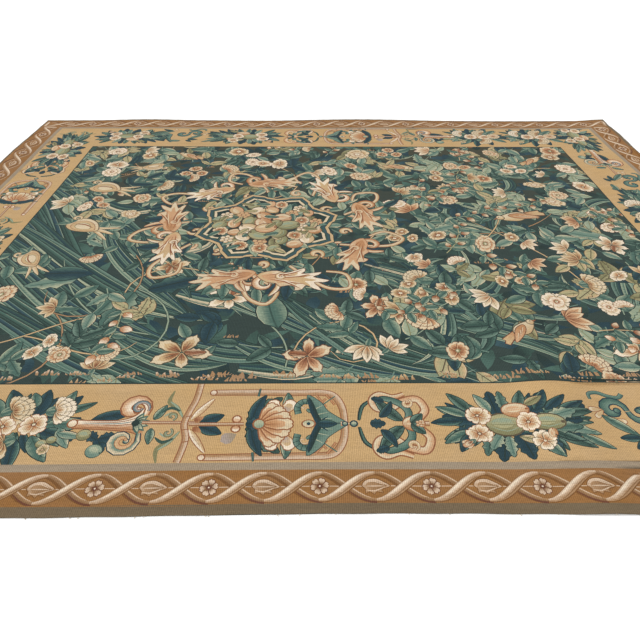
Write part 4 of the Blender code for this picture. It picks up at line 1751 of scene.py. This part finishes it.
def dye_corners(mesh, spots, look):
    """Write each corner's two yarns, and how far it lies on the way from the first to the second."""
    first, second = look[:, 2:4], look[:, 4:6]
    run = second - first
    length = np.maximum((run ** 2).sum(1), 1e-12)
    share = ((spots - first[:, None, :]) * run[:, None, :]).sum(2) / length[:, None]
    share = np.clip(share, -0.2, 1.2)
    for name, column in (("yarn", 0), ("second_yarn", 1)):
        colour = np.ones((len(spots), 3, 4))
        colour[..., :3] = DYE_TABLE[look[:, column].astype(int)][:, None, :]
        mesh.attributes.new(name, "FLOAT_COLOR", "CORNER").data.foreach_set("color", colour.ravel())
    mesh.attributes.new("hatch", "FLOAT", "CORNER").data.foreach_set("value", share.ravel())


def weave(name, left, low, right, high, rows, layers):
    """Make one face of the cloth from what the cartoon shows inside its box."""
    points, patches, looks = shown_patches(left, low, right, high, layers)
    lengthways = right - left > high - low
    total, tall = max(right - left, high - low), min(right - left, high - low)
    rows_at = [(left if lengthways else low) + total * k / rows for k in range(1, rows)]
    cuts_x = [k * SEAM_GRID for k in range(-8, 9) if left < k * SEAM_GRID < right]
    cuts_y = [k * SEAM_GRID for k in range(-6, 7) if low < k * SEAM_GRID < high]
    cuts_x += rows_at if lengthways else []
    cuts_y += [] if lengthways else rows_at
    edges = []
    for ends in [((x, low), (x, high)) for x in cuts_x] + [((left, y), (right, y)) for y in cuts_y]:
        edges.append((len(points), len(points) + 1))
        points.extend(ends)
    points.extend(map(tuple, ripple_points(left, low, right, high)))

    cut = delaunay_2d_cdt([Vector(p) for p in points], edges, patches, 1, WELD, True)
    spots, _, triangles, _, _, sources = cut
    flat = np.array([tuple(spot) for spot in spots])
    corners = np.array(triangles, dtype=np.int64)
    floods = flooded(points, patches, flat, corners, sources)
    kept = [k for k, ids in enumerate(sources) if 0 in ids]
    tops = np.array([max(n for n in sources[k] if not floods[n]) for k in kept])
    used, corners = np.unique(corners[kept], return_inverse=True)
    row_cuts = [(0 if lengthways else 1, place) for place in rows_at]
    mesh = plain_faces(name, flat[used], corners.reshape(-1, 3), tops, row_cuts)
    spots, tops = read_back(mesh)
    dye_corners(mesh, spots, np.array(looks, dtype=float)[tops])

    # The face lies in rows, one over the other, on its own square picture.
    along = spots[..., 0] - left if lengthways else spots[..., 1] - low
    across = spots[..., 1] - low if lengthways else spots[..., 0] - left
    row = np.clip(np.floor(along.mean(1) / total * rows), 0, rows - 1)[:, None]
    u = (along - row * total / rows) / (total / rows)
    v = (row + 0.01 + 0.98 * across / tall) / rows
    uv = np.stack((0.003 + 0.994 * u, v), axis=-1)
    mesh.uv_layers.new(name="OFBake").data.foreach_set("uv", uv.ravel())
    mesh.shade_smooth()
    piece = bpy.data.objects.new(name, mesh)
    bpy.context.scene.collection.objects.link(piece)
    return piece


# The wool itself: matt dyed yarn packed over cotton warps. The warps show as fine ribs
# that run away from the near side, as bumps and as painted shade in the grooves between
# them, and the dye is streaky along the weft.
WARP_PITCH = 0.0052
WEFT_PITCH = 0.0018
VALUE_BASE = 0.79
RELIEF = 0.0008
FIELD_STRIPS = 4


def wool(name):
    """The yarns of the mesh, hatched into each other, under ribs with painted groove shade, beads of weft,
    streaks and wear.
    """
    material = bpy.data.materials.new(name)
    material.use_nodes = True
    tree = material.node_tree
    nodes, links = tree.nodes, tree.links
    shader = nodes["Principled BSDF"]
    shader.inputs["Specular IOR Level"].default_value = 0.05
    shader.inputs["Sheen Weight"].default_value = 0.02
    shader.inputs["Sheen Roughness"].default_value = 0.6

    def node(kind, **settings):
        made = nodes.new(kind)
        for key, value in settings.items():
            setattr(made, key, value)
        return made

    def maths(operation, a, b=None, c=None):
        step = node("ShaderNodeMath", operation=operation)
        for socket, value in zip(step.inputs, (a, b, c)):
            if value is None:
                continue
            if isinstance(value, (int, float)):
                socket.default_value = value
            else:
                links.new(value, socket)
        return step.outputs[0]

    place = node("ShaderNodeTexCoord").outputs["Object"]

    def noise(scale, detail, roughness):
        mapping = node("ShaderNodeMapping")
        mapping.inputs["Scale"].default_value = scale
        links.new(place, mapping.inputs["Vector"])
        made = node("ShaderNodeTexNoise")
        made.inputs["Scale"].default_value = 1.0
        made.inputs["Detail"].default_value = detail
        made.inputs["Roughness"].default_value = roughness
        links.new(mapping.outputs["Vector"], made.inputs["Vector"])
        return made.outputs["Fac"]

    yarn = node("ShaderNodeAttribute", attribute_name="yarn").outputs["Color"]
    second = node("ShaderNodeAttribute", attribute_name="second_yarn").outputs["Color"]
    hatch = node("ShaderNodeAttribute", attribute_name="hatch").outputs["Fac"]

    hachure = noise((38, 250, 1), 2.0, 0.65)
    blend = maths("MULTIPLY_ADD", hachure, 1.10, -0.55)
    blend = maths("ADD", hatch, blend)
    blend = maths("MULTIPLY_ADD", blend, 1.7, -0.35)
    mix = node("ShaderNodeMix", data_type="RGBA", clamp_factor=True)
    links.new(blend, mix.inputs[0])
    links.new(yarn, mix.inputs[6])
    links.new(second, mix.inputs[7])

    split = node("ShaderNodeSeparateXYZ")
    links.new(place, split.inputs[0])
    sway = maths("MULTIPLY", noise((1.5, 4, 1), 2.0, 0.5), 0.010)
    warp_x = maths("ADD", split.outputs["X"], sway)
    rib = maths("ABSOLUTE", maths("SINE", maths("MULTIPLY", warp_x, math.pi / WARP_PITCH)))
    weft = maths("ABSOLUTE", maths("SINE", maths("MULTIPLY", split.outputs["Y"], math.pi / WEFT_PITCH)))
    abrash = noise((2.2, 30, 1), 3.0, 0.6)
    beads = noise((190, 210, 1), 2.0, 0.75)
    streaks = noise((16, 330, 1), 2.0, 0.7)
    worn = noise((7, 7, 1), 4.0, 0.6)
    value = maths("MULTIPLY_ADD", abrash, 0.26, VALUE_BASE)
    # The rib term is painted shade: it darkens the dye in the grooves between the warp ribs.
    for grain_and_rib_shade, share, offset in ((beads, 0.68, -0.34), (streaks, 0.46, -0.23), (rib, 0.30, -0.19)):
        value = maths("ADD", value, maths("MULTIPLY_ADD", grain_and_rib_shade, share, offset))
    tone = node("ShaderNodeHueSaturation")
    links.new(mix.outputs[2], tone.inputs["Color"])
    links.new(value, tone.inputs["Value"])
    links.new(maths("MULTIPLY_ADD", worn, -0.20, 1.08), tone.inputs["Saturation"])
    links.new(tone.outputs["Color"], shader.inputs["Base Color"])
    links.new(maths("MULTIPLY_ADD", beads, 0.12, 0.84), shader.inputs["Roughness"])

    relief = maths("ADD", maths("MULTIPLY", rib, 0.75), maths("MULTIPLY", weft, 0.25))
    relief = maths("ADD", relief, maths("MULTIPLY", beads, 0.8))
    bump = node("ShaderNodeBump")
    bump.inputs["Strength"].default_value = 0.5
    bump.inputs["Distance"].default_value = RELIEF
    links.new(relief, bump.inputs["Height"])
    links.new(bump.outputs["Normal"], shader.inputs["Normal"])
    return material


woven_wool = wool("woven_wool")
faces = [
    weave("near_border", field_left, -half_width, field_right, field_low, 3, BORDER_LAYERS),
    weave("far_border", field_left, field_high, field_right, half_width, 3, BORDER_LAYERS),
    weave("left_border", -half_length, -half_width, field_left, half_width, 3, BORDER_LAYERS),
    weave("right_border", field_right, -half_width, half_length, half_width, 3, BORDER_LAYERS),
]
for k in range(FIELD_STRIPS):
    low = field_low + 2 * field_high * k / FIELD_STRIPS
    high = field_low + 2 * field_high * (k + 1) / FIELD_STRIPS
    faces.append(weave(f"field_strip_{k + 1}", field_left, low, field_right, high, 2, FIELD_LAYERS))
for face in faces:
    face.data.materials.append(woven_wool)
    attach(face, "root")
    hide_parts("rug_cloth")

# The underside and the selvedge: the back of the same cloth, and the thickness of its
# edge. The colours of the bands show through on the back.
RIM_BULGE = 0.0006
WARP_ENDS = 46
WARP_HALF = 0.0016
WARP_RISE = 0.0004


def underside():
    """One mesh: the plain reverse, a rim all round in two rows, and the loose warp ends."""
    ring = ground_ring(-half_length, -half_width, half_length, half_width)
    points = list(ring)
    shapes = [list(range(len(ring)))]
    tones = ["guard"]
    for inset, dye in ((0.02, "tobacco"), (RIBBON_BAND_INSET, "dove"), (BORDER_INSET, "ochre"),
                       (FIELD_INSET, "night")):
        shapes.append(list(range(len(points), len(points) + 4)))
        points.extend(rectangle(*inset_box(inset)))
        tones.append(dye)
    points.extend(map(tuple, ripple_points(-half_length, -half_width, half_length, half_width)))
    cut = delaunay_2d_cdt([Vector(p) for p in points], [], shapes, 1, WELD, True)
    spots, _, triangles, _, _, sources = cut
    flat = np.array([tuple(spot) for spot in spots])
    verts = lay_out(flat, 0.0).tolist()
    polygons = [tuple(reversed(t)) for t in triangles]
    colours = [DYE_NUMBER[tones[max(ids)]] for ids in sources]

    middle = lay_out(np.array(ring) * (1 + RIM_BULGE / half_width), CLOTH_THICKNESS / 2)
    high = lay_out(np.array(ring), CLOTH_THICKNESS)
    find = {(round(x, 5), round(y, 5)): k for k, (x, y) in enumerate(flat.tolist())}
    first = [find[(round(x, 5), round(y, 5))] for x, y in ring]
    base = len(verts)
    verts += middle.tolist() + high.tolist()
    count = len(ring)
    for k in range(count):
        n = (k + 1) % count
        polygons.append((first[k], first[n], base + n, base + k))
        polygons.append((base + k, base + n, base + count + n, base + count + k))
        colours += [DYE_NUMBER["guard_dark"]] * 2

    # Cut warp ends stand out of the near edge by some millimetres.
    loose = random.Random(5)
    for _ in range(WARP_ENDS):
        x = loose.uniform(-0.98, 0.98) * half_length
        foot = np.array([(x - WARP_HALF, -half_width), (x + WARP_HALF, -half_width)])
        left, right = lay_out(foot, WARP_RISE).tolist()
        tip = [x + loose.uniform(-0.004, 0.004), left[1] - loose.uniform(0.003, 0.008), left[2] + WARP_RISE]
        n = len(verts)
        verts += [left, right, [x, left[1], left[2] + WARP_HALF], tip]
        polygons += [(n, n + 1, n + 3), (n, n + 3, n + 2), (n + 1, n + 2, n + 3), (n, n + 2, n + 1)]
        colours += [DYE_NUMBER["ivory"]] * 4
    mesh = bpy.data.meshes.new("rug_back")
    mesh.from_pydata(verts, [], polygons)
    mesh.update()
    sizes = [len(p) for p in polygons]
    yarn = np.ones((sum(sizes), 4))
    yarn[:, :3] = DYE_TABLE[np.repeat(colours, sizes)]
    for name in ("yarn", "second_yarn"):
        mesh.attributes.new(name, "FLOAT_COLOR", "CORNER").data.foreach_set("color", yarn.ravel())
    mesh.attributes.new("hatch", "FLOAT", "CORNER")
    mesh.shade_smooth()
    piece = bpy.data.objects.new("rug_back", mesh)
    bpy.context.scene.collection.objects.link(piece)
    return piece


back = underside()
back.data.materials.append(woven_wool)
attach(back, "root")
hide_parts("rug_cloth")
